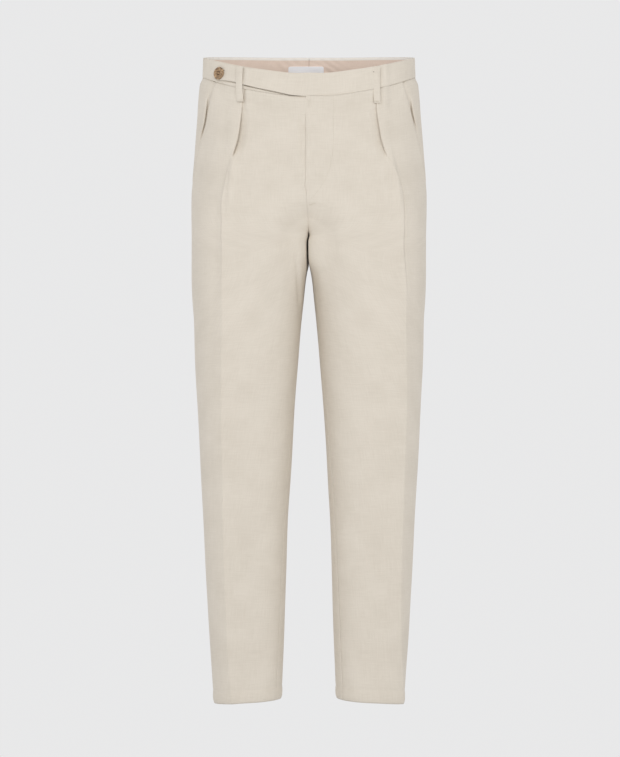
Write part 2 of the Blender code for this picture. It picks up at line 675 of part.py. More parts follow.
def make_facing_and_label():
    """Facing inside the back of the waist, a half each side of the centre back, and its blank label."""
    for side, name in ((RIGHT, "right"), (LEFT, "left")):
        rows = []
        for share in np.linspace(0.0, 1.0, FACING_ROWS):
            drop = FACING_TOP_DROP * (1 - share) - FACING_RISE * share
            walk, total = walk_round(side, band_heights(drop, share))
            along = band_stations(total)[-FACING_COLUMNS:]
            rows.append(wall_row(walk, along, np.full(FACING_COLUMNS, FACING_LIFT), LINING_WALL))
        cloth_wall("band_facing_" + name, rows, LINING)
    rows = []
    for drop in LABEL_DROPS:
        walk, total = walk_round(RIGHT, band_heights(drop))
        along = np.linspace(total - LABEL_RIGHT, total + LABEL_LEFT, 9)
        rows.append(wall_row(walk, along, np.full(9, LABEL_LIFT), LABEL_WALL))
    cloth_wall("label", rows, LABEL_CLOTH)


SHIELD_LIFT = -2.1
FLY_LEVELS = (-41, -60, -80, -100, -120, -140, -160, -180, -196)


def make_fly():
    """Shield behind the fly edge, and the closed zip between the shield and the left front."""
    shield_rows = []
    zip_rows = []
    for level in FLY_LEVELS:
        walk, total = walk_round(RIGHT, panel_heights(level))
        shield = np.linspace(28.0, -34.0, 11)
        shield_rows.append(wall_row(walk, shield[::-1], np.full(11, SHIELD_LIFT), CLOTH))
        tape = np.linspace(-11.0, -1.0, 4)
        zip_rows.append(wall_row(walk, tape, np.zeros(4), CLOTH))
    cloth_wall("fly_shield", shield_rows, WOOL)
    cloth_wall("fly_zip", zip_rows, ZIP_TAPE)


# Belt loops: name, side, distance from the centre plane, at the back or not, height of the top end,
# length, width, and how far its middle stands off the cloth's middle surface at the top end, over the
# band and at the bottom end
LOOP_COLUMNS = ("name", "side", "reach", "at_back", "top", "length", "width", "lifts")
LOOPS = (
    ("loop_front_right", RIGHT, 108.6, False, -20.5, 56.5, 11.5, (5.2, 5.4, 3.2)),
    ("loop_front_left", LEFT, 108.4, False, -20.0, 59.0, 10.5, (2.9, 3.6, 3.2)),
    ("loop_back_right", RIGHT, 95.0, True, 8.0, 54.0, 11.0, (2.9, 3.6, 2.4)),
    ("loop_back_left", LEFT, 95.0, True, 8.0, 54.0, 11.0, (2.9, 3.6, 2.4)),
    ("loop_back_centre", LEFT, 0.0, True, 11.0, 54.0, 11.0, (2.9, 3.6, 2.4)),
)
LOOP_STEPS = (0.0, 0.03, 0.07, 0.35, 0.56, 0.74, 0.87, 1.0)
LOOP_HUMP = (0.0, 0.75, 1.0, 1.0, 1.0, 0.8, 0.3, 0.0)


def level_heights(height):
    def height_at(angles):
        return np.full(np.shape(angles), float(height))
    return height_at


def make_loops():
    for name, side, reach, at_back, top, length, width, lifts in LOOPS:
        rows = []
        for share, hump in zip(LOOP_STEPS, LOOP_HUMP):
            walk, total = walk_round(side, level_heights(top - length * share))
            if at_back:
                behind = (walk.lengths >= total / 2) & (walk.lengths <= total)
                outwards = np.abs(walk.points[behind, 0])
                order = np.argsort(outwards)
                middle = float(np.interp(reach, outwards[order], walk.lengths[behind][order]))
            else:
                middle = length_at_x(walk, total, reach)
            end_lift = lifts[0] if share < 0.5 else lifts[2]
            lift = end_lift + (lifts[1] - end_lift) * hump
            along = middle + width * np.array((-0.5, -0.2, 0.2, 0.5))
            rows.append(wall_row(walk, along, np.full(4, lift), LOOP_WALL))
        cloth_wall(name, rows, WOOL)


BUTTON_THICK = 3.6
BUTTON_DROP = 19.2
BUTTON_SECTION_COLUMNS = ("radius_share", "height")
BUTTON_SECTION = (
    (0.0, 0.0),
    (0.80, 0.0),
    (0.95, 0.5),
    (1.0, 1.5),
    (0.97, 2.9),
    (0.86, 3.6),
    (0.74, 3.3),
    (0.62, 2.5),
    (0.0, 2.3),
)
BUTTON_HOLE = 1.9
BUTTON_HOLE_SPREAD = 2.3
BUTTON_TURN = math.radians(28.0)


def make_button():
    """Turned horn button with four holes, flat on the tab near its tip."""
    walk, total = walk_round(RIGHT, band_heights(BUTTON_DROP))
    place = length_at_x(walk, total, BUTTON_PLACE)
    seat = spot(walk, np.array([place]), np.array([TAB_LIFT + BAND_WALL / 2 + SEAM_GAP]))[0]
    ahead = spot(walk, np.array([place]), np.array([TAB_LIFT + BAND_WALL / 2 + SEAM_GAP + 1.0]))[0]
    facing = Vector(ahead - seat).normalized()
    level = Vector((0, 0, 1)).cross(facing).normalized()
    upright = facing.cross(level)
    turned = Matrix((level, upright, facing)).transposed().to_4x4()
    turned = Matrix.Translation(Vector(seat) * METRE) @ turned
    shape = bmesh.new()
    corners = []
    for share, height in BUTTON_SECTION:
        corners.append(shape.verts.new((share * BUTTON_WIDTH / 2 * METRE, 0.0, height * METRE)))
    edges = [shape.edges.new(pair) for pair in zip(corners[:-1], corners[1:])]
    bmesh.ops.spin(shape, geom=corners + edges, cent=(0, 0, 0), axis=(0, 0, 1), angle=2 * math.pi,
                   steps=28, use_merge=True)
    bmesh.ops.remove_doubles(shape, verts=shape.verts, dist=0.00001)
    button = new_object("button", shape, HORN)
    button.matrix_world = turned
    for quarter in range(4):
        angle = BUTTON_TURN + math.pi / 4 + quarter * math.pi / 2
        cutter_shape = bmesh.new()
        centre = Vector((math.cos(angle), math.sin(angle), 0.0)) * BUTTON_HOLE_SPREAD * METRE
        bmesh.ops.create_cone(cutter_shape, cap_ends=True, segments=8, radius1=BUTTON_HOLE / 2 * METRE,
                              radius2=BUTTON_HOLE / 2 * METRE, depth=4 * BUTTON_THICK * METRE)
        bmesh.ops.translate(cutter_shape, vec=centre, verts=cutter_shape.verts)
        cutter = new_object("button_cutter_%d" % quarter, cutter_shape, HORN)
        cutter.matrix_world = turned
        cutter.hide_render = True
        cutter.display_type = "WIRE"
        hole = button.modifiers.new("hole_%d" % quarter, "BOOLEAN")
        hole.operation = "DIFFERENCE"
        hole.object = cutter
        hole.solver = "EXACT"


for old in list(bpy.data.objects):
    bpy.data.objects.remove(old, do_unlink=True)

make_legs()
make_pocket_sides()
make_waistband()
make_facing_and_label()
make_fly()
make_loops()
make_button()
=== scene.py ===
"""Pleated wool trousers, filled out as they are when worn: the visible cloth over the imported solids.

Sizes are in millimetres until a mesh is made. +X is the wearer's left, +Y the back, +Z up, and the
origin is the centre of the waist opening.
"""

import math
from collections import namedtuple

import bmesh
import bpy
import numpy as np
from mathutils import Matrix, Vector
from mathutils.bvhtree import BVHTree


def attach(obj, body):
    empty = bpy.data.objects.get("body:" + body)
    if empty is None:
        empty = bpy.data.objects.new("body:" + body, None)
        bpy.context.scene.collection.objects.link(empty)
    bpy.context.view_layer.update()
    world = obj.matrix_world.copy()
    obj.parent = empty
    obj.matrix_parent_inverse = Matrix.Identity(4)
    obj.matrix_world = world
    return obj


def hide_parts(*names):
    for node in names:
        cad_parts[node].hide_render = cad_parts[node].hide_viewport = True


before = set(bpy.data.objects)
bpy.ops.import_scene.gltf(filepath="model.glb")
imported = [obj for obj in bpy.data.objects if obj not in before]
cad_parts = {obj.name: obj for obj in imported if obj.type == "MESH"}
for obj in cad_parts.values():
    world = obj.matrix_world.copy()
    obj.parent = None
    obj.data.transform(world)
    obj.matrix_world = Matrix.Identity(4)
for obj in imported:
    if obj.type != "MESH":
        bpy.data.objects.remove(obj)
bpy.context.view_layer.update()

# ------------------------------------------------------------------------------
# How it is shown: a camera straight in front at mid height, a pale studio floor that runs out into an
# even pale background, one large soft light at the upper left and a weaker one at the right.
PAPER = (0.811, 0.811, 0.815)
FLOOR_DROP = -1.30
CAMERA_PLACE = (0.0016, -5.0, -0.519)
LENS = 146.0

view = bpy.data.cameras.new("view")
view.lens = LENS
view.clip_end = 100.0
viewer = bpy.data.objects.new("view", view)
viewer.location = CAMERA_PLACE
viewer.rotation_euler = (math.pi / 2, 0.0, 0.0)
bpy.context.scene.collection.objects.link(viewer)
bpy.context.scene.camera = viewer
bpy.context.scene.view_settings.view_transform = "Standard"


def soft_light(name, place, aim, width, power, colour):
    lamp = bpy.data.lights.new(name, "AREA")
    lamp.shape = "DISK"
    lamp.size = width
    lamp.energy = power
    lamp.color = colour
    holder = bpy.data.objects.new(name, lamp)
    holder.location = place
    holder.rotation_euler = (Vector(aim) - Vector(place)).to_track_quat("-Z", "Y").to_euler()
    bpy.context.scene.collection.objects.link(holder)


soft_light("key_light", (-1.5, -4.1, 1.9), (0.0, 0.0, -0.2), 1.5, 40.5, (1.0, 0.99, 0.97))
soft_light("fill_light", (2.2, -3.95, 0.35), (0.0, 0.0, -0.4), 2.6, 27.0, (1.0, 0.98, 0.93))


def add_node(tree, kind, values=(), **settings):
    """A shader node with its settings and the values of its open inputs."""
    made = tree.nodes.new("ShaderNode" + kind)
    for setting, value in settings.items():
        setattr(made, setting, value)
    for socket, value in dict(values).items():
        made.inputs[socket].default_value = value
    return made


def wire(tree, *runs):
    """Links nodes; each run is a node, its output, the next node and its input."""
    for source, output, target, socket in runs:
        tree.links.new(source.outputs[output], target.inputs[socket])


def make_object(name, shape):
    """A mesh object in the scene from a drawn shape."""
    mesh = bpy.data.meshes.new(name)
    shape.to_mesh(mesh)
    shape.free()
    made = bpy.data.objects.new(name, mesh)
    bpy.context.scene.collection.objects.link(made)
    return made


room = bpy.data.worlds.new("room")
room.use_nodes = True
bpy.context.scene.world = room
tree = room.node_tree
ambient = tree.nodes["Background"]
ambient.inputs["Color"].default_value = (*PAPER, 1.0)
ambient.inputs["Strength"].default_value = 0.875
seen = add_node(tree, "Background", {"Color": (*PAPER, 1.0)})
ray = add_node(tree, "LightPath")
which = add_node(tree, "MixShader")
wire(tree, (ray, "Is Camera Ray", which, "Fac"), (ambient, "Background", which, 1),
     (seen, "Background", which, 2), (which, "Shader", tree.nodes["World Output"], "Surface"))

floor_shape = bmesh.new()
bmesh.ops.create_circle(floor_shape, cap_ends=True, segments=96, radius=12.0)
bmesh.ops.translate(floor_shape, vec=(0.0, 0.0, FLOOR_DROP), verts=floor_shape.verts)
floor = make_object("floor", floor_shape)
paint = bpy.data.materials.new("pale_floor")
paint.use_nodes = True
tree = paint.node_tree
shader = tree.nodes["Principled BSDF"]
shader.inputs["Base Color"].default_value = (0.80, 0.80, 0.80, 1.0)
shader.inputs["Roughness"].default_value = 0.9
glow = add_node(tree, "Emission", {"Color": (*PAPER, 1.0)})
place = add_node(tree, "TexCoord")
level_place = add_node(tree, "VectorMath", {1: (1.0, 1.0, 0.0)}, operation="MULTIPLY")
distance = add_node(tree, "VectorMath", operation="LENGTH")
fade = add_node(tree, "MapRange", {"From Min": 0.35, "From Max": 1.25}, interpolation_type="SMOOTHSTEP")
blend = add_node(tree, "MixShader")
wire(tree, (place, "Object", level_place, 0), (level_place, "Vector", distance, 0),
     (distance, "Value", fade, "Value"), (fade, "Result", blend, "Fac"), (shader, "BSDF", blend, 1),
     (glow, "Emission", blend, 2), (blend, "Shader", tree.nodes["Material Output"], "Surface"))
floor.data.materials.append(paint)

# ------------------------------------------------------------------------------
# Leg panels: two fronts and two backs of light wool, cut on the straight grain, pressed to a crease
# down the middle of each. Every panel is drawn line by line round the filled-out body; the fronts are
# folded into one deep pleat each, and the hems are turned up inside.
METRE = 0.001
RIGHT = -1
LEFT = 1
HEM_HEIGHT = -1042.0
CROTCH = -290.0
SEAM_GAP = 0.3
CLOTH = 1.2
SHEET = CLOTH - 0.2
HEM_TURN_UP = 38.0
HEM_LAYER = 2.0
HEM_TILT = 4.0
PLEAT_DEPTH = 13.0
PLEAT_LAYER = 1.7
PLEAT_SINK = 0.4
PLEAT_GAPE = {RIGHT: 1.7, LEFT: 0.8}
CREASE_LIFT = 4.4
CREASE_STEP = {RIGHT: 0.6, LEFT: 1.9}
HIP_STEP = 4.2
FLY_OVERLAP = 5.5
FLY_END = -222.0
FLY_LAYER = 1.7
UNDER_FLY_LIFT = 0.56
POCKET_END = -224.0
FORK_ROUND = 6.0
FORK_ARCH = 4.0
LEG_CLEARANCE = CLOTH / 2 + 0.1
LEAST_DIP = 0.02
WALK_SAMPLES = 601
SPREAD = 60.0
SEAM_SINK_REACH = 1.3

# Half-body sections, as in the solids: outer edge, where each half is centred, its middle from front
# to back, its depths, the exponent of its outline, how far the rise seams have curved under, the gap.
BODY_COLUMNS = ("height", "half_width", "lobe", "centre", "front", "back", "square",
                "front_dip", "back_dip", "gap")
BODY = np.array((
    (30, 170.8, 12, 2, 96, 96, 2.10, 0.02, 0.02, 0),
    (0, 171.6, 15, 2, 98, 97, 2.12, 0.02, 0.02, 0),
    (-40, 173.8, 22, 3, 104, 106, 2.15, 0.02, 0.04, 0),
    (-100, 182.8, 37, 6, 111, 121, 2.20, 0.03, 0.12, 0),
    (-170, 188.5, 56, 9, 116, 134, 2.22, 0.06, 0.26, 0),
    (-200, 190.6, 64, 10, 117, 136, 2.26, 0.14, 0.34, 0),
    (-230, 191.5, 73, 10, 117, 135, 2.42, 0.35, 0.46, 0),
    (-250, 191.5, 79, 9.5, 116.5, 133, 2.60, 0.60, 0.64, 0),
    (-268, 191.3, 84, 9, 116, 130, 2.75, 0.81, 0.83, 0),
    (-290, 190.9, 90, 8, 115, 125.5, 2.85, 1, 1, 0),
    (-330, 190.8, 95, 6, 112, 117.5, 2.85, 1, 1, 0),
    (-345, 190.8, 96.4, 5, 110.6, 114.8, 2.83, 1, 1, 2.4),
    (-359, 190.7, 97.6, 4, 109, 112, 2.80, 1, 1, 4.8),
    (-391, 189.6, 98.8, 3, 106, 106, 2.75, 1, 1, 8.2),
    (-424, 187.2, 99.4, 1, 102.5, 101, 2.70, 1, 1, 11.6),
    (-489, 185.4, 101.2, 0, 97, 94, 2.62, 1, 1, 17.2),
    (-554, 182.4, 102.5, -1, 90.5, 87.5, 2.56, 1, 1, 22.4),
    (-619, 179, 102.8, -1, 84.5, 82, 2.52, 1, 1, 26.4),
    (-685, 175.4, 103, 0, 78.5, 77, 2.50, 1, 1, 30.4),
    (-750, 172.2, 103.4, 2, 73.5, 73, 2.50, 1, 1, 34.2),
    (-815, 169.2, 102.8, 4, 69, 69, 2.50, 1, 1, 36.4),
    (-880, 165.6, 102, 6, 65.5, 65.5, 2.50, 1, 1, 38.4),
    (-945, 162, 101.1, 8, 62, 62.5, 2.50, 1, 1, 40.4),
    (-1011, 157.6, 100.4, 10, 59, 59.5, 2.50, 1, 1, 43),
    (-1055, 155.4, 99.8, 11, 57.5, 58, 2.50, 1, 1, 44.4),
))

# Where each front's pleat and pressed crease lie: height, angle from the front in degrees
RIGHT_CREASE = np.array((
    (0, 29.4), (-56, 29), (-77, 27.8), (-102, 26.8), (-120, 26.5), (-140, 27.2),
    (-158, 28), (-176, 28.7), (-200, 29.7), (-230, 28.4), (-282, 21.1), (-346, 18.3),
    (-394, 18.5), (-489, 20.1), (-634, 22.9), (-850, 24.3), (-957, 23.5), (-1050, 19.4),
))
LEFT_CREASE = np.array((
    (0, 33), (-44, 32), (-60, 29.4), (-80, 28), (-100, 27.6), (-118, 27.4),
    (-133, 27.7), (-145, 28.5), (-157, 29.4), (-170, 31.2), (-184, 33.2), (-200, 35.1),
    (-216, 35.7), (-235, 34.4), (-313, 27), (-393, 30.3), (-489, 32.8), (-600, 36.2),
    (-812, 36.6), (-900, 39.9), (-957, 45.8), (-1021, 57.2), (-1050, 60),
))

# The other seams' angles round each leg, in degrees from its front towards its outer side
SEAM_COLUMNS = ("height", "side_seam", "inseam", "back_crease")
RIGHT_SEAMS = np.array((
    (0, 92, -90, 150), (-122, 92, -90, 155), (-228, 92.5, -90, 169.7),
    (-293, 94, -90, 178.9), (-360, 96, -87, 180.8), (-425, 98, -80, 183),
    (-620, 102, -70, 190.5), (-850, 106, -60, 197), (-1050, 108, -53, 201.9),
))
LEFT_SEAMS = np.array((
    (0, 92, -90, 150), (-122, 92, -90, 155), (-228, 92.5, -90, 169.7),
    (-293, 95, -90, 179.4), (-360, 98, -87, 181.5), (-425, 101, -80, 184.7),
    (-620, 108, -66, 195), (-850, 114, -56, 203.9), (-960, 119, -52, 207.9),
    (-1050, 125, -50, 212),
))
CREASES = {RIGHT: RIGHT_CREASE, LEFT: LEFT_CREASE}
SEAMS = {RIGHT: RIGHT_SEAMS, LEFT: LEFT_SEAMS}

# The waistband: angle round the body, height of its top edge, its width down to its seam
BAND = np.array((
    (0, -31.7, 36.2), (5, -30.8, 36.2), (10, -28.9, 36), (20, -24.8, 35.6),
    (30, -20.8, 35.1), (40, -16, 34.4), (53, -9.5, 33.5), (75, -0.6, 31.8),
    (90, 3.4, 31.5), (120, 9.4, 32.6), (150, 12.6, 34.4), (180, 13.5, 35.5),
))

# The slanted pocket edge: height, angle
POCKET_EDGE = np.array((
    (0, 54.5), (-61, 57.4), (-87, 59.8), (-103, 61.4), (-124, 64.2),
    (-147, 67.5), (-185, 74), (-210, 82.4), (-224, 91),
))
# How much further back each side's edge runs below its top, in degrees
POCKET_TURN = {RIGHT: -1.3, LEFT: 0.5}

# How the panels' level lines fan out at the fork: height on the outer side, height at the inner edge
FORK_FAN = np.array((
    (-206, -206), (-236, -236), (-262, -259), (-285, -277.5), (-304, -288.3), (-312, -290),
    (-320, -291.7), (-339, -302), (-363, -323), (-396, -363), (-452, -434), (-494, -486), (-546, -546),
))
FAN_FRONT = (math.radians(20.0), math.radians(-60.0))
FAN_BACK = (math.radians(150.0), math.radians(240.0))
LIFT_FADE_FROM = -40.0
LIFT_FADE_TO = -250.0

Walk = namedtuple("Walk", "lengths points normals angles")


def smooth_curve(known, values, places):
    """Monotone cubic curve through a table's values, read at the given places."""
    order = np.argsort(known)
    known = np.asarray(known, dtype=float)[order]
    values = np.asarray(values, dtype=float)[order]
    steps = np.diff(known)
    slopes = np.diff(values) / steps
    tangents = np.zeros(len(known))
    tangents[0] = slopes[0]
    tangents[-1] = slopes[-1]
    before = slopes[:-1]
    after = slopes[1:]
    same_way = before * after > 0
    tangents[1:-1][same_way] = (2 * before * after)[same_way] / (before + after)[same_way]
    places = np.clip(np.asarray(places, dtype=float), known[0], known[-1])
    index = np.clip(np.searchsorted(known, places) - 1, 0, len(known) - 2)
    t = (places - known[index]) / steps[index]
    return ((1 + 2 * t) * (1 - t) ** 2 * values[index]
            + t * (1 - t) ** 2 * steps[index] * tangents[index]
            + t * t * (3 - 2 * t) * values[index + 1]
            + t * t * (t - 1) * steps[index] * tangents[index + 1])


def ease(value, start, end):
    """0 at start, 1 at end, level at both."""
    t = np.clip((value - start) / (end - start), 0.0, 1.0)
    return t * t * (3 - 2 * t)


def between(value, start, full, waning, end):
    """Rises from 0 at start to 1 when full, and falls back to 0 from waning to end."""
    return ease(value, start, full) * (1 - ease(value, waning, end))


def bump(value, middle, width):
    """A smooth hump of height 1 about its middle."""
    return np.exp(-((value - middle) / width) ** 2)


def read(table, column, place):
    """A table's column at places along its first column."""
    return smooth_curve(table[:, 0], table[:, column], place)


def body(column, height):
    return read(BODY, BODY_COLUMNS.index(column), height)


def seam_angle(side, column, height):
    return np.radians(read(SEAMS[side], SEAM_COLUMNS.index(column), height))


def crease_angle(side, height):
    return np.radians(read(CREASES[side], 1, height))


def band_heights(drop, share=0.0):
    """Heights of a line round the waistband: a drop below its top edge and a share of its width."""
    def height_at(angles):
        turned = np.degrees(np.abs((np.asarray(angles) + math.pi) % (2 * math.pi) - math.pi))
        return read(BAND, 1, turned) - drop - share * read(BAND, 2, turned)
    return height_at


def pocket_angle(side, height):
    turn = POCKET_TURN[side] * ease(-height, 66.0, 116.0)
    return np.radians(read(POCKET_EDGE, 1, height) + turn)


def reaches(height):
    """Outer and inner reach of a half-body section from its lobe, at the cloth's middle."""
    lobe = body("lobe", height)
    outer = body("half_width", height) - CLOTH / 2 - lobe
    arch = np.sqrt(np.clip((CROTCH - height) / FORK_ARCH, 0.0, 1.0))
    inner_edge = (body("gap", height) + LEG_CLEARANCE) * arch
    closed = lobe - np.sqrt(inner_edge ** 2 + FORK_ROUND ** 2)
    below = height < CROTCH
    front_dip = np.maximum(body("front_dip", height), LEAST_DIP)
    back_dip = np.maximum(body("back_dip", height), LEAST_DIP)
    inner_front = np.where(below, closed, (lobe - FORK_ROUND) / front_dip)
    inner_back = np.where(below, closed, (lobe - FORK_ROUND) / back_dip)
    return lobe, outer, inner_front, inner_back


def outline(angles, heights):
    """Points of the half body's middle surface; x is from the centre plane."""
    lobe, outer, inner_front, inner_back = reaches(heights)
    power = 2.0 / body("square", heights)
    sine = np.sin(angles)
    cosine = np.cos(angles)
    across = np.sign(sine) * np.abs(sine) ** power
    deep = np.sign(cosine) * np.abs(cosine) ** power
    inner = np.where(cosine >= 0, inner_front, inner_back)
    spread = lobe + np.where(sine >= 0, outer, inner) * across
    depth = np.where(cosine >= 0, body("front", heights), body("back", heights))
    x = np.sqrt(np.maximum(spread ** 2 - FORK_ROUND ** 2, 0.0))
    return np.stack((x, body("centre", heights) - depth * deep, heights), axis=-1)


def fullness(x, y, z):
    """Rises outwards through the middle surface, so its gradient is the cloth's normal."""
    lobe, outer, inner_front, inner_back = reaches(z)
    square = body("square", z)
    from_middle = y - body("centre", z)
    inner = np.where(from_middle <= 0, inner_front, inner_back)
    spread = np.sqrt(x ** 2 + FORK_ROUND ** 2) - lobe
    reach = np.where(spread >= 0, outer, inner)
    depth = np.where(from_middle <= 0, body("front", z), body("back", z))
    return np.abs(spread / reach) ** square + np.abs(from_middle / depth) ** square


def outward(points):
    step = 0.05
    slopes = []
    for axis in range(3):
        nudge = np.zeros(3)
        nudge[axis] = step
        slopes.append(fullness(*(points + nudge).T) - fullness(*(points - nudge).T))
    normals = np.stack(slopes, axis=-1)
    return normals / np.linalg.norm(normals, axis=-1, keepdims=True)


def rise_angle(dip_column, height_at, around):
    """How far past the lobe's middle a rise seam lies, settled on the line's own height there."""
    turn = 0.0
    for attempt in range(40):
        height = float(height_at(around(turn)))
        dip = max(float(body(dip_column, height)), LEAST_DIP)
        turn += 0.5 * (math.asin(dip ** (float(body("square", height)) / 2)) - turn)
    return turn


def walk_round(side, height_at):
    """Walk round one half of the body, or round a whole leg below the crotch, and a little past its ends."""
    inner_height = float(height_at(-math.pi / 2))
    whole_leg = inner_height < CROTCH
    if whole_leg:
        start = float(seam_angle(side, "inseam", inner_height))
        end = start + 2 * math.pi
    else:
        start = -rise_angle("front_dip", height_at, lambda turn: -turn)
        end = math.pi + rise_angle("back_dip", height_at, lambda turn: math.pi + turn)
    angles = np.linspace(start, end, WALK_SAMPLES)
    points = outline(angles, height_at(angles))
    if not whole_leg:
        points[0, 0] = 0.0
        points[-1, 0] = 0.0
    normals = outward(points)
    lengths = np.concatenate(((0.0,), np.cumsum(np.linalg.norm(np.diff(points, axis=0), axis=1))))
    total = lengths[-1]
    head = (lengths > 0) & (lengths < SPREAD)
    tail = (lengths < total) & (lengths > total - SPREAD)
    if whole_leg:
        before = (lengths[tail] - total, points[tail], normals[tail], angles[tail] - 2 * math.pi)
        after = (lengths[head] + total, points[head], normals[head], angles[head] + 2 * math.pi)
    else:
        flip = np.array((-1.0, 1.0, 1.0))
        before = (-lengths[head][::-1], points[head][::-1] * flip, normals[head][::-1] * flip,
                  2 * start - angles[head][::-1])
        after = (2 * total - lengths[tail][::-1], points[tail][::-1] * flip, normals[tail][::-1] * flip,
                 2 * end - angles[tail][::-1])
    mirror = np.array((side, 1.0, 1.0))
    return Walk(
        np.concatenate((before[0], lengths, after[0])),
        np.concatenate((before[1], points, after[1])) * mirror,
        np.concatenate((before[2], normals, after[2])) * mirror,
        np.concatenate((before[3], angles, after[3])),
    ), total


def spot(walk, along):
    """Points and normals at given lengths along a walk."""
    points = np.stack([np.interp(along, walk.lengths, walk.points[:, axis]) for axis in range(3)], axis=-1)
    normals = np.stack([np.interp(along, walk.lengths, walk.normals[:, axis]) for axis in range(3)], axis=-1)
    return points, normals / np.linalg.norm(normals, axis=-1, keepdims=True)


def length_at(walk, angle):
    return float(np.interp(angle, walk.angles, walk.lengths))


def panel_heights(level):
    """Heights of a panel's line: along the band's seam at the top, fanned at the fork, tilted at the hem."""
    inner_level = level
    if FORK_FAN[-1, 0] < level < FORK_FAN[0, 0]:
        inner_level = read(FORK_FAN, 1, level)

    def height_at(angles):
        seam = band_heights(SEAM_GAP, 1.0)(angles)
        fade = 1 - ease(-level, -LIFT_FADE_FROM, -LIFT_FADE_TO)
        tilt = ease(-level, 900.0, -HEM_HEIGHT) * HEM_TILT
        front_fan = 1 - ease(angles, FAN_FRONT[1], FAN_FRONT[0])
        back_fan = ease(angles, FAN_BACK[0], FAN_BACK[1])
        fan = np.maximum(front_fan, back_fan)
        return level + (inner_level - level) * fan + (seam - LIFT_FADE_FROM) * fade - tilt * np.sin(angles)
    return height_at


def stretch(first, last, count, crowd=0.6):
    """Stations from first to last, closer together at both ends."""
    share = np.linspace(0.0, 1.0, count)
    share = (1 - crowd) * share + crowd * (1 - np.cos(math.pi * share)) / 2
    return first + (last - first) * share


def pleat_path(side, level, crease):
    """The fold at a front's crease: three layers at the waist, let out below into a pressed ridge."""
    gape = between(-level, 66.0, 112.0, 136.0, 168.0)
    pressed_flat = 0.6 + 0.4 * ease(-level, 46.0, 104.0)
    layer = PLEAT_LAYER * pressed_flat * (1 + PLEAT_GAPE[side] * gape)
    depth = PLEAT_DEPTH * (1 - ease(-level, 45.0, 150.0)) + layer + 0.8
    release = ease(-level, 142.0, 176.0)
    half = layer / 2
    bottom = stretch(-16.0, depth - half, 13, 0.3)
    bottom_lift = -layer + 0.5 * layer * (1 - ease(bottom, -16.0, -4.0))
    turn = np.radians(np.linspace(-60.0, 60.0, 5))
    middle = np.linspace(depth - half, half, 7)
    top = stretch(half, depth + 20.0, 15, 0.3)
    top_lift = layer * (1 - 0.65 * ease(top, depth, depth + 20.0))
    along = np.concatenate((bottom, depth - half + half * np.cos(turn), middle,
                            half - half * np.cos(turn), top))
    lift = np.concatenate((bottom_lift, -half + half * np.sin(turn), np.zeros(7),
                           half + half * np.sin(turn), top_lift))
    lift = lift - PLEAT_SINK * (1 - ease(-level, 40.0, 110.0))
    share = np.linspace(-1.0, 1.0, len(along))
    spacing = np.where(share < 0, 27.0, 25.0) * np.sign(share) * np.abs(share) ** 1.5
    outer_reach = 13.0 + 14.0 * ease(-level, 300.0, 520.0)
    reach = np.where(spacing < 0, 30.0, outer_reach)
    ridge = CREASE_LIFT * np.clip(1 - np.abs(spacing) / reach, 0.0, 1.0) ** 1.7
    step = CREASE_STEP[side] * between(-level, 165.0, 205.0, 280.0, 430.0)
    ridge = ridge - step * bump(spacing, 3.4, 2.4)
    return (crease + along * (1 - release) + spacing * release,
            lift * (1 - release) + ridge * release)


# The tab's edges: distance from the centre, drop under the band's top, rise over its lower edge
TAB_EDGE = np.array((
    (0, 0, -1.6), (14, 0.2, -0.4), (26, 0.4, 1.2), (40, 0.6, 3.2), (75, 1.4, 4.6),
    (106, 3, 6.4), (118, 2.6, 7.2), (134, 1.2, 6.4), (148, 0.8, 4.6),
))
# The slit at the tab's lower edge: distance from the centre, how far the cloth below it swells, width
TAB_SLIT = np.array((
    (0, 2.6, 2.9), (45, 2.6, 2.5), (90, 2.3, 1.9), (130, 1.9, 1.6), (152, 0, 1.4),
))


def tab_swell(place, below):
    """The cloth swelling out under the tab's free edge, which leaves a dark slit along it."""
    slit = read(TAB_SLIT, 2, place)
    return read(TAB_SLIT, 1, place) * between(below, 0.6 * slit, slit + 0.8, 8.0, 36.0)


# The cloth beside the front belt loops: where each swell starts, which way it runs, height, slope, reach
LOOP_SWELLS = {
    RIGHT: ((102.3, -1.0, 2.0, 1.8, 16.0),),
    LEFT: ((115.6, 1.0, 2.8, 1.9, 16.0), (108.0, -1.0, 1.4, 3.0, 22.0)),
}


def loop_swell(side, out):
    """The cloth rising beside a front belt loop, which deepens the shadow along the loop's edge."""
    swell = np.zeros(np.shape(out))
    for start, way, height, slope, reach in LOOP_SWELLS[side]:
        swell += height * between((out - start) * way, 0.3, slope, 0.3 * reach, reach)
    return swell


def seat_at_band(side, level, along, crease):
    """Holds the top of a front level with the waistband, so that only a soft seam shows."""
    near = 1 - ease(-level, 41.0, 62.0)
    lift = (1.2 + 1.1 * ease(along, 8.0, 40.0)) * near * (1 - ease(along, crease - 10.0, crease))
    if side == LEFT:
        return lift + 0.7 * near * (1 - ease(along, 8.0, 34.0))
    return lift + tab_swell(along, read(TAB_EDGE, 2, along) - level - 40.0)


def hip_step(walk, along, level):
    """The panels' fullness at the sides, eased on to the narrower waistband."""
    turned = np.degrees(np.interp(along, walk.lengths, walk.angles))
    return HIP_STEP * between(turned, 40.0, 72.0, 108.0, 140.0) * between(-level, 39.0, 54.0, 58.0, 112.0)


# How far each slanted pocket stands open at most, and from and to which depths
POCKET_GAPES = {RIGHT: (0.76, 50.0, 92.0, 108.0, 152.0), LEFT: (0.74, 58.0, 92.0, 94.0, 132.0)}


def pocket_gape(side, level):
    """How far the slanted pocket stands open: between its bar tack and where it closes over the hip."""
    most, *depths = POCKET_GAPES[side]
    return most * between(-level, *depths)


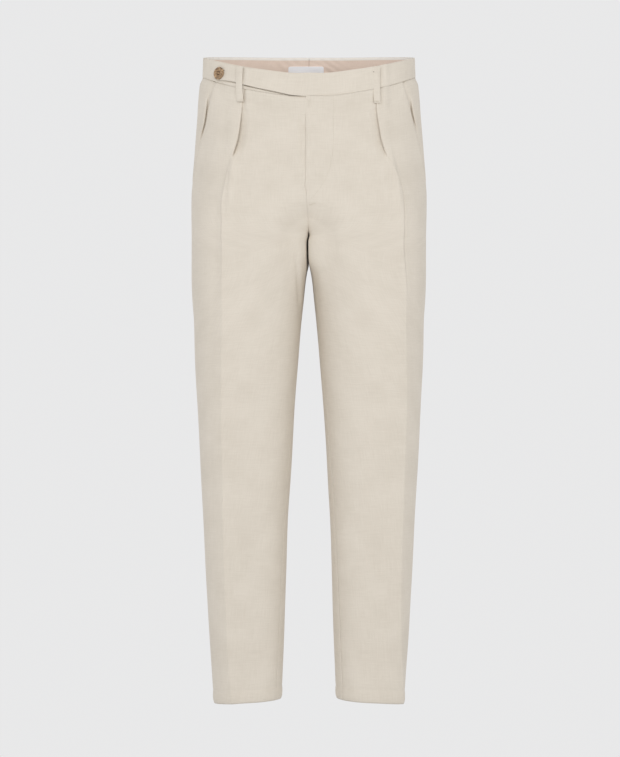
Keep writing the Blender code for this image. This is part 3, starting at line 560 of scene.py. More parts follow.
def fly_share(level):
    """1 beside the closed fly, fading out past the bar tack at its end."""
    return 1 - ease(-level, -FLY_END - 22.0, -FLY_END + 8.0)


def front_line(side, level):
    """One line of a front panel from its inner edge to its outer edge: points, normals, lifts, lengths."""
    walk, total = walk_round(side, panel_heights(level))
    crease = length_at(walk, crease_angle(side, level))
    start = 0.1 * SEAM_GAP
    tuck = 0.1 + 0.6 * ease(-level, 262.0, 300.0)
    raised = 0.0
    if side == LEFT:
        open_fly = 1 - ease(-level, -FLY_END - 20.0, -FLY_END)
        start = start - (FLY_OVERLAP + start) * open_fly
        tuck = tuck + 0.8 * open_fly
        raised = FLY_LAYER * fly_share(level)
    end = length_at(walk, seam_angle(side, "side_seam", level)) - SEAM_GAP / 2
    outer_tuck = 0.7
    pocket_lift = 0.0
    if level > POCKET_END:
        end = min(length_at(walk, pocket_angle(side, level)), end)
        outer_tuck = 0.35
        pocket_lift = 0.7 * (1 - ease(-level, 195.0, 224.0)) * (1 - pocket_gape(side, level))
        pocket_lift += 0.9 * between(-level, 128.0, 156.0, 184.0, 214.0)
    fold_along, fold_lift = pleat_path(side, level, crease)
    inner = stretch(start, fold_along[0], 43)[:-1]
    outer = stretch(fold_along[-1], end, 26)[1:]
    inner_lift = fold_lift[0] * ease(inner, start, fold_along[0])
    outer_lift = fold_lift[-1] * (1 - ease(outer, fold_along[-1], fold_along[-1] + 30.0))
    outer_lift = outer_lift + pocket_lift * ease(outer, end - 18.0, end)
    along = np.concatenate((inner, fold_along, outer))
    lift = np.concatenate((inner_lift, fold_lift, outer_lift))
    lift = lift + raised * (1 - ease(along, 11.0, 32.0)) + hip_step(walk, along, level)
    lift = lift + seat_at_band(side, level, along, crease)
    out = np.abs(np.interp(along, walk.lengths, walk.points[:, 0]))
    lift = lift + loop_swell(side, out) * (1 - ease(-level, 66.0, 80.0))
    if side == RIGHT:
        lift = lift + UNDER_FLY_LIFT * fly_share(level) * between(along, 2.5, 6.5, 9.0, 30.0)
    lift = lift - tuck * bump(along, start, SEAM_SINK_REACH) - outer_tuck * bump(along, end, SEAM_SINK_REACH)
    points, normals = spot(walk, along)
    return points, normals, lift, along


def back_line(side, level):
    """One line of a back panel from its side seam to its inner edge."""
    walk, total = walk_round(side, panel_heights(level))
    start = length_at(walk, seam_angle(side, "side_seam", level)) + SEAM_GAP / 2
    end = total - SEAM_GAP / 2
    middle = length_at(walk, seam_angle(side, "back_crease", level))
    share = np.linspace(-1.0, 1.0, 31)
    crease = 25.0 * np.sign(share) * np.abs(share) ** 1.5
    pressed = ease(-level, 320.0, 430.0)
    ridge = 0.9 * CREASE_LIFT * pressed * np.clip(1 - np.abs(crease) / 26.0, 0.0, 1.0) ** 1.7
    outer = stretch(start, middle + crease[0], 38)[:-1]
    inner = stretch(middle + crease[-1], end, 38)[1:]
    along = np.concatenate((outer, middle + crease, inner))
    lift = np.concatenate((np.zeros(len(outer)), ridge, np.zeros(len(inner))))
    lift = lift - 0.7 * bump(along, start, SEAM_SINK_REACH) - 0.7 * bump(along, end, SEAM_SINK_REACH)
    lift = lift + hip_step(walk, along, level)
    points, normals = spot(walk, along)
    return points, normals, lift, along


# Soft folds of the fronts and backs: from and to (x, z), how far the middle of the line bows sideways,
# its lift (a trough is negative), its half width, and how much steeper its outer side is
FRONT_FOLDS = (
    # the fullness that each pleat lets out, inside its crease
    (-114.5, -146, -128.5, -262, 2.5, 2.4, 5.2, 1.5), (127, -144, 145, -262, -2.5, 2.4, 5.2, 1.5),
    (-123.5, -150, -141.5, -226, -2, -1.2, 4.5, 1), (121.5, -146, 136, -232, 0, -0.8, 5, 1),
    # beside the fly, and the row of stitches that holds its facing
    (-10, -92, -9.5, -190, 0, -2.8, 5, 1), (39, -52, 38, -170, -2, 0.6, 7, 1),
    (74, -140, 78, -266, 0, -1, 13, 1), (-80, -130, -82, -270, 0, 0.8, 13, 1),
    (-44, -130, -42, -262, 0, -0.8, 13, 1),
    # under the lower ends of the front belt loops, and small puckers by the fly's top
    (-102, -80.6, -113.5, -80, 0, 5, 1.5, 1), (102.5, -82.6, 114, -82, 0, 5, 1.5, 1),
    (22, -64, 46, -72, 2, 1.6, 2.6, 1), (20, -78, 40, -82, -2, 1, 3, 1),
    # drawn from the fork across both thighs
    (-24.5, -284, -15.5, -434, -2, -2.4, 2.4, 1), (-19.5, -288, -11, -430, -2, 1.2, 2.8, 1),
    (-10, -262, -52, -322, 3, -0.6, 9, 1), (10, -262, 46, -330, -3, -0.6, 9, 1),
    (6, -300, 17, -420, 1, -1, 4, 1), (-26, -250, -78, -272, 3, 0.9, 12, 1),
    (24, -246, 74, -268, -3, 0.9, 12, 1), (44, -300, 66, -420, 3, 0.9, 16, 1),
    (-40, -318, -58, -440, -3, 0.8, 16, 1),
    # slight breaks at the hip, knee and shin
    (-186, -452, -152, -440, 2, 0.9, 4, 1.2), (-150, -500, -98, -530, 3, 0.7, 13, 1),
    (-86, -560, -46, -520, -3, 0.7, 13, 1), (60, -610, 118, -566, 3, 0.8, 15, 1),
    (52, -700, 112, -668, 3, -0.7, 13, 1), (-140, -716, -110, -852, 4, 0.8, 7, 1),
    (-122, -730, -98, -880, -4, -0.7, 9, 1), (-118, -800, -66, -838, 3, 0.6, 14, 1),
    (70, -812, 128, -852, -3, 0.7, 13, 1), (58, -930, 120, -912, 3, 0.6, 15, 1),
    (-134, -962, -70, -936, 3, 0.6, 14, 1),
)
BACK_FOLDS = (
    # the seat, the back of the thighs and the back of the knees
    (-12, -236, -92, -292, 8, -2.2, 9, 1), (12, -240, 96, -300, -8, -2.2, 9, 1),
    (-20, -292, -112, -330, 8, 1.8, 10, 1), (22, -300, 104, -344, -8, 1.8, 10, 1),
    (-30, -350, -120, -378, 6, -1.6, 11, 1), (34, -362, 126, -384, -6, -1.6, 11, 1),
    (-26, -120, -40, -222, 3, 1, 15, 1), (30, -112, 44, -226, -3, 1, 15, 1),
    (-150, -500, -60, -560, 6, 1.7, 11, 1), (-152, -545, -66, -585, 6, -1.5, 10, 1),
    (-50, -610, -140, -650, 5, 1.3, 12, 1), (56, -506, 148, -552, -6, 1.6, 11, 1),
    (60, -560, 150, -580, 4, -1.5, 10, 1), (142, -618, 62, -662, 5, 1.2, 12, 1),
    (-138, -760, -78, -800, 4, 0.9, 13, 1), (76, -770, 140, -800, -4, 0.9, 13, 1),
    (-128, -930, -66, -952, 4, 0.8, 13, 1), (68, -920, 128, -950, -4, 0.8, 13, 1),
)


def fold_lift(points, normals):
    """Lift of the soft folds at points of the cloth, with the slow unevenness of worn wool."""
    x, y, z = np.moveaxis(points, -1, 0)
    total = np.zeros(x.shape)
    for folds, way in ((FRONT_FOLDS, -1), (BACK_FOLDS, 1)):
        facing = ease(way * normals[..., 1], 0.0, 0.35)
        for x0, z0, x1, z1, bow, lift, width, sharp in folds:
            run_x = x1 - x0
            run_z = z1 - z0
            length = math.hypot(run_x, run_z)
            share = ((x - x0) * run_x + (z - z0) * run_z) / length ** 2
            aside = ((x - x0) * run_z - (z - z0) * run_x) / length - 4 * bow * share * (1 - share)
            outside = np.where(aside * run_z * np.sign(x0) > 0, sharp, 1.0)
            ends = between(share, -0.08, 0.3, 0.7, 1.08)
            total += lift * bump(aside * outside, 0.0, width) * ends * facing
    total += 0.35 * np.sin(x / 17.0 + 0.6 * np.sin(z / 61.0)) * np.sin(z / 83.0 + y / 40.0)
    total += 0.30 * np.sin(z / 29.0 + x / 31.0 + 1.3 * np.sin(y / 37.0)) * np.sin(y / 23.0 + z / 140.0)
    return total


# How far the centre front seam leans to the wearer's right under the fly: height, lean
SEAM_LEAN = np.array((
    (-202, 0), (-222, -4.4), (-250, -2.6), (-274, -0.9), (-290, -0.5), (-331, -0.2), (-350, 0),
))


def fork_lean(points):
    """The front seam's lean, and the slant at which the inner walls meet and close the view through."""
    x, y, z = np.moveaxis(points, -1, 0)
    seam = read(SEAM_LEAN, 1, z) * (1 - ease(np.abs(x), 12.0, 55.0)) * (1 - ease(y, 10.0, 70.0))
    pinch = between(-z, 288.0, 300.0, 330.0, 350.0) * (1 - ease(np.abs(x), 10.0, 42.0))
    return seam + np.clip(0.06 * y, -3.0, 3.0) * pinch


# The thighs pressed together: how much of the way each point is drawn in and how far out from the
# slit, how much of the hollow between them is filled, and how deep it is filled at the slit
DRAWN_SHARE = 0.8
DRAWN_REACH = 15.0
FILLED_SHARE = 0.72
FILLED_DEPTH = 88.0


def press_thighs(points):
    """The fronts of the legs pressed together at the fork, so that only a thin slit shows there."""
    x, y, z = np.moveaxis(points, -1, 0)
    ahead = 1 - ease(y, -34.0, -6.0)
    pressed = between(-z, 246.0, 266.0, 322.0, 352.0) * ahead
    beyond = np.maximum(np.abs(x) - 0.8, 0.0)
    from_slit = np.abs(x) - DRAWN_SHARE * beyond * bump(beyond, 0.0, DRAWN_REACH) * pressed
    filled = FILLED_SHARE * between(-z, 240.0, 264.0, 300.0, 420.0) * (1 - ease(from_slit, 16.0, 44.0))
    filled = filled * ahead * (1 - 0.8 * ease(-z, 282.0, 306.0) * (1 - ease(from_slit, 0.5, 2.4)))
    behind = np.maximum(y + FILLED_DEPTH + 0.22 * from_slit - 6.0 * ease(-z, 300.0, 380.0), 0.0)
    return np.stack((np.sign(x) * from_slit, y - filled * behind, z), axis=-1)


def faces_along(points, outside):
    """True if a grid's own faces point along the given outside direction or normals."""
    row = points.shape[0] // 2
    column = points.shape[1] // 3
    across = points[row, column + 1] - points[row, column]
    down = points[row + 1, column] - points[row, column]
    return np.dot(np.cross(across, down), np.broadcast_to(outside, points.shape)[row, column]) > 0


def cloth_grid(name, points, flow, thickness, outside=None, rounded=False):
    """A sheet of cloth from rows of points, facing outside, with its flat measure in metres as UV map."""
    points = np.array(points)
    flow = np.array(flow)
    if outside is not None and not faces_along(points, outside):
        points = points[:, ::-1]
        flow = flow[:, ::-1]
    count_rows, count_columns = points.shape[:2]
    shape = bmesh.new()
    bmesh.ops.create_grid(shape, x_segments=count_columns - 1, y_segments=count_rows - 1, size=1.0)
    measure = shape.loops.layers.uv.new("cloth")
    places = {}
    for vertex in shape.verts:
        column = round((vertex.co.x + 1) / 2 * (count_columns - 1))
        row = round((vertex.co.y + 1) / 2 * (count_rows - 1))
        vertex.co = points[row, column] * METRE
        places[vertex] = Vector(flow[row, column]) * METRE
    for face in shape.faces:
        face.smooth = True
        for loop in face.loops:
            loop[measure].uv = places[loop.vert]
    piece = make_object(name, shape)
    wall = piece.modifiers.new("thickness", "SOLIDIFY")
    wall.thickness = thickness * METRE
    wall.offset = 0.0
    if rounded:
        edge = piece.modifiers.new("rounded edges", "BEVEL")
        edge.width = 0.3 * thickness * METRE
        edge.segments = 3
        edge.limit_method = "ANGLE"
        edge.angle_limit = math.radians(50.0)
    return piece


def flat_line(along, down):
    """Where a line's points lie in the flat cloth."""
    return np.stack(np.broadcast_arrays(along, down), axis=-1)


def leg_cloth(name, lines):
    """Cloth of the legs from its lines: points, normals, lifts, lengths along them and levels."""
    points, normals, lift, along, level = [np.array(part) for part in zip(*lines)]
    lift = lift + fold_lift(points, normals) * ease(-points[..., 2], 60.0, 110.0)
    placed = press_thighs(points + normals * lift[..., None])
    placed[..., 0] += fork_lean(points)
    return cloth_grid(name, placed, flat_line(along, level[:, None]), SHEET, normals)


def leg_levels():
    """Levels of the lines from the band's seam down to the hem's edge."""
    down = [-40.0]
    while down[-1] > HEM_HEIGHT + 3.0:
        step = 2.8 if down[-1] > -240 else 3.6 if down[-1] > -420 else 4.6
        if down[-1] < HEM_HEIGHT + 50.0:
            step = 2.2
        down.append(down[-1] - step)
    return down + [HEM_HEIGHT - 0.6]


def hem_profile(level):
    """The pressed edge of the turned-up hem, and the faint line where it is caught down inside."""
    rise = level - HEM_HEIGHT
    return 0.7 * bump(rise, 9.0, 8.0) - 0.45 * bump(rise, 20.0, 3.0) - 0.9 * bump(rise, 0.0, 1.6)


def make_panel(name, side, line):
    """A leg panel: its lines down to the hem's edge, and the hem turned up inside."""
    lines = []
    for level in leg_levels():
        points, normals, lift, along = line(side, level)
        lines.append((points, normals, lift + hem_profile(level), along, level))
    for rise in (-0.3, 2.5, 10.0, 20.0, 30.0, HEM_TURN_UP):
        points, normals, lift, along = line(side, HEM_HEIGHT + rise)
        lift = lift + hem_profile(HEM_HEIGHT + rise) - HEM_LAYER
        lines.append((points, normals, lift, along, HEM_HEIGHT - rise))
    return leg_cloth(name, lines)


front_right = make_panel("front_right_cloth", RIGHT, front_line)
front_left = make_panel("front_left_cloth", LEFT, front_line)
back_right = make_panel("back_right_cloth", RIGHT, back_line)
back_left = make_panel("back_left_cloth", LEFT, back_line)


def weave_group():
    """Fine twill of slubby wool yarns: warp and weft streaks, their height, and heathered colour."""
    group = bpy.data.node_groups.new("wool weave", "ShaderNodeTree")
    for socket, way, kind in (("Vector", "INPUT", "Vector"), ("Colour", "INPUT", "Color"),
                              ("Fleck", "INPUT", "Color"), ("Yarns", "INPUT", "Float"),
                              ("Colour", "OUTPUT", "Color"), ("Height", "OUTPUT", "Float"),
                              ("Roughness", "OUTPUT", "Float")):
        group.interface.new_socket(socket, in_out=way, socket_type="NodeSocket" + kind)
    come = group.nodes.new("NodeGroupInput")
    go = group.nodes.new("NodeGroupOutput")

    def streaks(across, down, detail):
        stretched = add_node(group, "VectorMath", {1: (across, down, 1.0)}, operation="MULTIPLY")
        scaled = add_node(group, "VectorMath", operation="SCALE")
        noise = add_node(group, "TexNoise", {"Scale": 1.0, "Detail": detail}, noise_dimensions="2D")
        wire(group, (come, "Vector", stretched, 0), (stretched, "Vector", scaled, 0),
             (come, "Yarns", scaled, "Scale"), (scaled, "Vector", noise, "Vector"))
        return noise.outputs["Fac"]

    def sum_of(first, second, share):
        blend = add_node(group, "Mix", {"Factor": share})
        group.links.new(first, blend.inputs["A"])
        group.links.new(second, blend.inputs["B"])
        return blend.outputs["Result"]

    yarns = sum_of(streaks(1.0, 0.045, 1.0), streaks(0.045, 1.0, 1.0), 0.5)
    slubs = sum_of(streaks(0.42, 0.022, 2.0), streaks(0.026, 0.38, 2.0), 0.5)
    cloudy = streaks(0.016, 0.018, 3.0)
    height = sum_of(yarns, slubs, 0.45)
    shade = sum_of(sum_of(yarns, slubs, 0.55), cloudy, 0.30)
    tone = add_node(group, "MapRange", {"From Min": 0.38, "From Max": 0.62})
    mixed = add_node(group, "Mix", data_type="RGBA")
    rough = add_node(group, "MapRange", {"From Min": 0.3, "From Max": 0.7, "To Min": 0.96, "To Max": 0.84})
    group.links.new(shade, tone.inputs["Value"])
    group.links.new(height, rough.inputs["Value"])
    group.links.new(height, go.inputs["Height"])
    wire(group, (tone, "Result", mixed, "Factor"), (come, "Fleck", mixed, "A"), (come, "Colour", mixed, "B"),
         (mixed, "Result", go, "Colour"), (rough, "Result", go, "Roughness"))
    return group


wool_weave = weave_group()


def woven(name, colour, fleck, yarns, relief, sheen):
    """A woven cloth's material over its own flat measure; yarns is how many lie in a metre."""
    material = bpy.data.materials.new(name)
    material.use_nodes = True
    tree = material.node_tree
    shader = tree.nodes["Principled BSDF"]
    shader.inputs["Specular IOR Level"].default_value = 0.12
    shader.inputs["Sheen Weight"].default_value = sheen
    shader.inputs["Sheen Roughness"].default_value = 0.45
    flat_measure = add_node(tree, "UVMap", uv_map="cloth")
    weave = add_node(tree, "Group", {"Colour": (*colour, 1.0), "Fleck": (*fleck, 1.0), "Yarns": yarns},
                     node_tree=wool_weave)
    raised = add_node(tree, "Bump", {"Distance": relief, "Strength": 0.55})
    wire(tree, (flat_measure, "UV", weave, "Vector"), (weave, "Colour", shader, "Base Color"),
         (weave, "Roughness", shader, "Roughness"), (weave, "Height", raised, "Height"),
         (raised, "Normal", shader, "Normal"))
    return material


wool = woven("stone wool", (0.757, 0.697, 0.611), (0.697, 0.637, 0.551), 1300.0, 0.00030, 0.10)


def finish_cloth(piece, material, node):
    """The piece stands for its solid, which is hidden, takes its cloth and hangs from the root."""
    piece.data.materials.append(material)
    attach(piece, "root")
    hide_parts(node)


finish_cloth(front_right, wool, "front_right")
finish_cloth(front_left, wool, "front_left")
finish_cloth(back_right, wool, "back_right")
finish_cloth(back_left, wool, "back_left")

# ------------------------------------------------------------------------------
# Pocket side pieces: the hip cloth of each side, seen beyond the slanted pocket edge and running
# under it. Same wool; its back edge is sewn into the side seam.
POCKET_UNDERLAP = 14.0
# The hip cloth's line beyond the pocket edge where the pocket stands open: how far beyond the edge,
# and its lift; it dips in and folds back
POCKET_FOLD = np.array((
    (0, -2.6), (3, -4.2), (6, -5.4), (9, -5.8), (11, -5), (11.6, -3.9), (10.6, -2.9),
    (8, -1.8), (6, -0.9), (4.8, -0.2), (5, 0.45), (6.2, 0.9), (9, 1), (12, 0.6),
    (16, 0.15), (20, 0),
))


def make_pocket_side(name, side):
    lines = []
    for level in np.linspace(-40.0, -236.0, 72):
        walk, total = walk_round(side, panel_heights(level))
        seam = length_at(walk, seam_angle(side, "side_seam", level)) - SEAM_GAP / 2
        edge = min(length_at(walk, pocket_angle(side, level)), seam)
        tucked = ease(-level, -POCKET_END - 30.0, -POCKET_END - 8.0)
        gape = pocket_gape(side, level)
        last = seam - 4.0 * tucked
        room_beyond = min(1.0, 0.6 * max(last - edge, 0.0) / POCKET_FOLD[-1, 0])
        closed = room_beyond * np.linspace(0.0, POCKET_FOLD[-1, 0], len(POCKET_FOLD))
        rise = ease(closed, 2.0, 12.0) * (1 - tucked)
        slit = edge + closed * (1 - gape) + POCKET_FOLD[:, 0] * gape
        slit_lift = -(1.6 + 0.7 * tucked) * (1 - rise) * (1 - gape) + POCKET_FOLD[:, 1] * gape
        under = np.linspace(edge - POCKET_UNDERLAP, slit[0], 6)[:-1]
        beyond = np.linspace(slit[-1], max(last, slit[-1] + 0.2), 14)[1:]
        along = np.concatenate((under, slit, beyond))
        lift = np.concatenate((np.full(5, slit_lift[0]), slit_lift, np.full(13, slit_lift[-1])))
        lift = lift - 0.7 * bump(along, seam, SEAM_SINK_REACH) + hip_step(walk, along, level)
        lines.append((*spot(walk, along), lift, along, level))
    return leg_cloth(name, lines)


for side, hand in ((RIGHT, "right"), (LEFT, "left")):
    hip = make_pocket_side("pocket_side_%s_cloth" % hand, side)
    finish_cloth(hip, wool, "pocket_side_" + hand)

# ------------------------------------------------------------------------------
# Waistband: two interlined halves of doubled wool joined at the centre back, their lower edges sewn
# to the leg panels. The left half goes on past the centre front as a long tab, rounded at its tip,
# that lies over the right half and buttons at the right hip.
BAND_WALL = 2.2
BAND_LIFT = 0.4
BAND_OUTSIDE = BAND_LIFT + BAND_WALL / 2
BAND_INSIDE = BAND_LIFT - BAND_WALL / 2
BAND_DEPTH = 34.0
FRONT_BAND_DEPTH = 35.0
TAB_LIFT = BAND_OUTSIDE + SEAM_GAP + BAND_WALL / 2
TAB_REACH = 153.0
TAB_ROUND = 12.0
BAND_SHARES = np.concatenate((np.linspace(0.0, 0.72, 10), np.linspace(0.75, 1.0, 19)))


def length_at_x(walk, total, reach, behind=False):
    """Length along a walk, in front or behind, where it is a given distance from the centre plane."""
    first = total / 2 if behind else 0.0
    part = (walk.lengths >= first) & (walk.lengths <= first + total / 2)
    outwards = np.abs(walk.points[part, 0])
    order = np.argsort(outwards)
    return float(np.interp(reach, outwards[order], walk.lengths[part][order]))


def lifted(walk, along, lift, down):
    """A line of cloth lifted off a walk, and where it lies in the flat piece."""
    points, normals = spot(walk, along)
    return points + normals * np.reshape(lift, (-1, 1)), flat_line(along, down)


def tab_drops(from_centre, tip):
    """How far the tab's edges lie under the band's top edge and over its lower edge."""
    top_drop = float(read(TAB_EDGE, 1, from_centre))
    bottom_rise = float(read(TAB_EDGE, 2, from_centre))
    to_tip = min(max(tip - from_centre, 0.0), TAB_ROUND)
    corner = min(TAB_ROUND - math.sqrt(TAB_ROUND ** 2 - (TAB_ROUND - to_tip) ** 2), 0.92 * TAB_ROUND)
    return top_drop + corner, bottom_rise + corner


def band_wave(along, share):
    """The slight waves of an interlined band, rolled in a little at both edges."""
    rolled = -0.4 * bump(share, 0.0, 0.06) - 0.25 * bump(share, 1.0, 0.05)
    return rolled + 0.22 * np.sin(along / 19.0) * np.sin(3.2 * share + along / 47.0)


def make_waistband_right():
    lines = []
    for share in BAND_SHARES:
        walk, total = walk_round(RIGHT, band_heights(0.0, share))
        along = np.linspace(SEAM_GAP / 2, total - SEAM_GAP / 2, 130)
        swell = tab_swell(along, read(TAB_EDGE, 2, along) - FRONT_BAND_DEPTH * (1 - share))
        lines.append(lifted(walk, along, BAND_LIFT + band_wave(along, share) + swell, -BAND_DEPTH * share))
    return cloth_grid("waistband_right_cloth", *zip(*lines), BAND_WALL, (RIGHT, -1.0, 0.0), rounded=True)


def make_waistband_left():
    lines = []
    top_walk, top_total = walk_round(RIGHT, band_heights(0.0))
    tip = length_at_x(top_walk, top_total, TAB_REACH)
    places = np.concatenate((np.linspace(0.0, tip - TAB_ROUND, 70),
                             tip - TAB_ROUND * (1 - np.sin(np.radians(np.linspace(6.0, 90.0, 15))))))[1:]
    drops = np.array([tab_drops(place, tip) for place in places])
    places_angle = np.interp(places, top_walk.lengths, top_walk.angles)
    for share in BAND_SHARES:
        walk, total = walk_round(LEFT, band_heights(0.0, share))
        along = np.linspace(total - SEAM_GAP / 2, SEAM_GAP / 2, 120)
        points, normals = spot(walk, along)
        lift = BAND_LIFT + (TAB_LIFT - BAND_LIFT) * (1 - ease(along, 3.0, 34.0)) + band_wave(along, share)
        lift = lift + loop_swell(LEFT, np.abs(points[:, 0])) * (points[:, 1] < 0)
        drop = drops[:, 0] * (1 - share) - drops[:, 1] * share
        tab = outline(places_angle, band_heights(drop, share)(places_angle))
        stand = 2.0 * ease(share, 0.5, 1.0) * ease(places, 0.0, 14.0) * (1 - 0.6 * ease(places, 60.0, 130.0))
        tab_lift = TAB_LIFT + stand + band_wave(places, share) + loop_swell(RIGHT, tab[:, 0])
        tab = (tab + outward(tab) * tab_lift[:, None]) * np.array((RIGHT, 1.0, 1.0))
        lines.append((np.concatenate((points + normals * lift[:, None], tab)),
                      flat_line(np.concatenate((-along, places)), -BAND_DEPTH * share)))
    return cloth_grid("waistband_left_cloth", *zip(*lines), BAND_WALL, (LEFT, 0.0, 0.0), rounded=True)


waistband_right = make_waistband_right()
waistband_left = make_waistband_left()
finish_cloth(waistband_right, wool, "waistband_right")
finish_cloth(waistband_left, wool, "waistband_left")

# ------------------------------------------------------------------------------
# Inside of the waist at the back: a facing of plain pinkish lining on each half, joined at the centre
# back, and one blank white woven label sewn over it.
LINING_WALL = 1.2
LABEL_WALL = 1.0
FACING_LIFT = BAND_INSIDE - 1.5 * SEAM_GAP - LINING_WALL / 2
LABEL_LIFT = FACING_LIFT - LINING_WALL / 2 - 1.5 * SEAM_GAP - LABEL_WALL / 2
lining = woven("pinkish lining", (0.930, 0.770, 0.670), (0.870, 0.710, 0.610), 2300.0, 0.00012, 0.05)
label_cloth = woven("blank label", (0.960, 0.965, 1.000), (0.930, 0.935, 0.970), 3200.0, 0.00006, 0.05)
# Painted light: the label glows faintly, which lightens it where it lies in the shade inside the back of the
# waist
label_cloth.node_tree.nodes["Principled BSDF"].inputs["Emission Color"].default_value = (0.90, 0.92, 1.0, 1.0)
label_cloth.node_tree.nodes["Principled BSDF"].inputs["Emission Strength"].default_value = 0.06

# The facing's top few millimetres, told apart by the cloth's own measure, are coloured a lighter cream
tree = lining.node_tree
measure = add_node(tree, "SeparateXYZ")
in_lighter_top = add_node(tree, "MapRange", {"From Min": -0.0042, "From Max": -0.0036})
lighter_top_tone = add_node(tree, "Mix", {"B": (1.0, 0.955, 0.90, 1.0)}, data_type="RGBA")
wire(tree, (tree.nodes["UV Map"], "UV", measure, "Vector"), (measure, "Y", in_lighter_top, "Value"),
     (in_lighter_top, "Result", lighter_top_tone, "Factor"), (tree.nodes["Group"], "Colour", lighter_top_tone, "A"),
     (lighter_top_tone, "Result", tree.nodes["Principled BSDF"], "Base Color"))


def make_facing(name, side):
    lines = []
    for share in np.linspace(0.0, 1.0, 22):
        walk, total = walk_round(side, band_heights(0.7 - 1.7 * share, share))
        along = np.linspace(0.5 * total, total - SEAM_GAP / 2, 120)
        drop = BAND_DEPTH * share
        to_seam = total - along
        pull = bump(to_seam, 32.0, 22.0) * (1 - ease(drop, 20.0, 34.0))
        crimp = 0.36 * np.sin((along * 0.8 + drop * 1.1 * side) / 2.3) * pull
        gathers = 0.14 * np.sin((along - drop * side) / 3.9) * (0.4 + 0.6 * np.sin(along / 31.0) ** 2)
        seam = 0.45 * bump(to_seam, 0.2, 1.4)
        lines.append(lifted(walk, along, FACING_LIFT - crimp - gathers + seam, -drop))
    return cloth_grid(name, *zip(*lines), LINING_WALL - 0.4)


for side, hand in ((RIGHT, "right"), (LEFT, "left")):
    facing = make_facing("band_facing_%s_cloth" % hand, side)
    finish_cloth(facing, lining, "band_facing_" + hand)

LABEL_TOP = 14.5
LABEL_BOTTOM = 34.5
lines = []
for drop in np.linspace(LABEL_TOP, LABEL_BOTTOM, 16):
    walk, total = walk_round(RIGHT, band_heights(drop))
    corner = 2.2 * (1 - math.sqrt(1 - (1 - min(1.0, (drop - LABEL_TOP) / 2.4)) ** 2))
    along = np.linspace(total - 34.5 + corner, total + 24.5 - corner, 40)
    curl = 0.25 * np.sin((along - total) / 11.0) * bump(drop, 17.0, 5.0)
    lines.append(lifted(walk, along, LABEL_LIFT - 0.15 - curl, -drop))
label = cloth_grid("label_cloth", *zip(*lines), LABEL_WALL - 0.3, rounded=True)
finish_cloth(label, label_cloth, "label")

# ------------------------------------------------------------------------------
# Fly: a shield of doubled wool behind the opening and a closed zip between it and the left front,
# both out of sight from outside. The zip is a woven tape with a row of small moulded teeth.
SHIELD_LIFT = -2.1


def behind_fly(name, first, last, count, lift, thickness):
    """A sheet behind the fly's opening, from one distance to another along the right front."""
    lines = []
    for level in np.linspace(-41.0, -196.0, 40):
        walk, total = walk_round(RIGHT, panel_heights(level))
        lines.append(lifted(walk, np.linspace(first, last, count), lift, level))
    return cloth_grid(name, *zip(*lines), thickness)


shield = behind_fly("fly_shield_cloth", -34.0, 28.0, 24, SHIELD_LIFT, SHEET)
finish_cloth(shield, wool, "fly_shield")
zip_tape = behind_fly("fly_zip_tape", -11.0, -1.0, 7, 0.0, 0.7)
tape_cloth = woven("zip tape", (0.560, 0.510, 0.440), (0.500, 0.455, 0.385), 2600.0, 0.00008, 0.03)
finish_cloth(zip_tape, tape_cloth, "fly_zip")

teeth_shape = bmesh.new()
for tooth in range(96):
    walk, total = walk_round(RIGHT, panel_heights(-46.0 - 1.5 * tooth))
    points, normals = spot(walk, np.array([-5.4 if tooth % 2 else -6.6]))
    made = bmesh.ops.create_cone(teeth_shape, cap_ends=True, segments=6, radius1=0.55 * METRE,
                                 radius2=0.40 * METRE, depth=2.6 * METRE)
    bmesh.ops.rotate(teeth_shape, verts=made["verts"], matrix=Matrix.Rotation(math.pi / 2, 3, "Y"))
    bmesh.ops.translate(teeth_shape, verts=made["verts"],
                        vec=Vector(points[0] - normals[0] * 0.45) * METRE)
bmesh.ops.recalc_face_normals(teeth_shape, faces=teeth_shape.faces)
teeth = make_object("fly_zip_teeth", teeth_shape)
moulded = bpy.data.materials.new("moulded teeth")
moulded.use_nodes = True
tree = moulded.node_tree
shader = tree.nodes["Principled BSDF"]
shader.inputs["Base Color"].default_value = (0.50, 0.45, 0.39, 1.0)
shine = add_node(tree, "TexNoise", {"Scale": 900.0})
wire(tree, (shine, "Fac", shader, "Roughness"))
teeth.data.materials.append(moulded)
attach(teeth, "root")

# ------------------------------------------------------------------------------
# Belt loops: narrow doubled strips of the wool, edge-stitched, caught under the band's top edge and
# turned under below its seam: two at the front, two behind the hips and one at the centre back.
LOOP_WALL = 1.8
# Name, side, distance from the centre, whether behind, height of its top, length, width, lifts at the
# top, middle and lower end, skew, tilt
LOOPS = (
    ("loop_front_right", RIGHT, 108.6, False, -20.5, 56.5, 11.5, (5.2, 5.4, 3.2), 1.0, -0.9),
    ("loop_front_left", LEFT, 108.4, False, -20.0, 59.0, 10.5, (2.3, 2.5, 2.3), -1.2, 1.0),
    ("loop_back_right", RIGHT, 95.0, True, 8.0, 54.0, 11.0, (2.9, 3.6, 2.4), 0.6, 0.3),
    ("loop_back_left", LEFT, 95.0, True, 8.0, 54.0, 11.0, (2.9, 3.6, 2.4), -0.5, -0.4),
    ("loop_back_centre", LEFT, 0.0, True, 11.0, 54.0, 11.0, (2.9, 3.6, 2.4), 0.3, 0.2),
)
# How far along each loop it bows out, and by how much
LOOP_STEPS = (0.0, 0.05, 0.12, 0.35, 0.56, 0.74, 0.87, 1.0)
LOOP_HUMP = (0.0, 0.7, 1.0, 1.0, 1.0, 0.8, 0.3, 0.0)


def level_heights(height):
    def height_at(angles):
        return np.full(np.shape(angles), float(height))
    return height_at


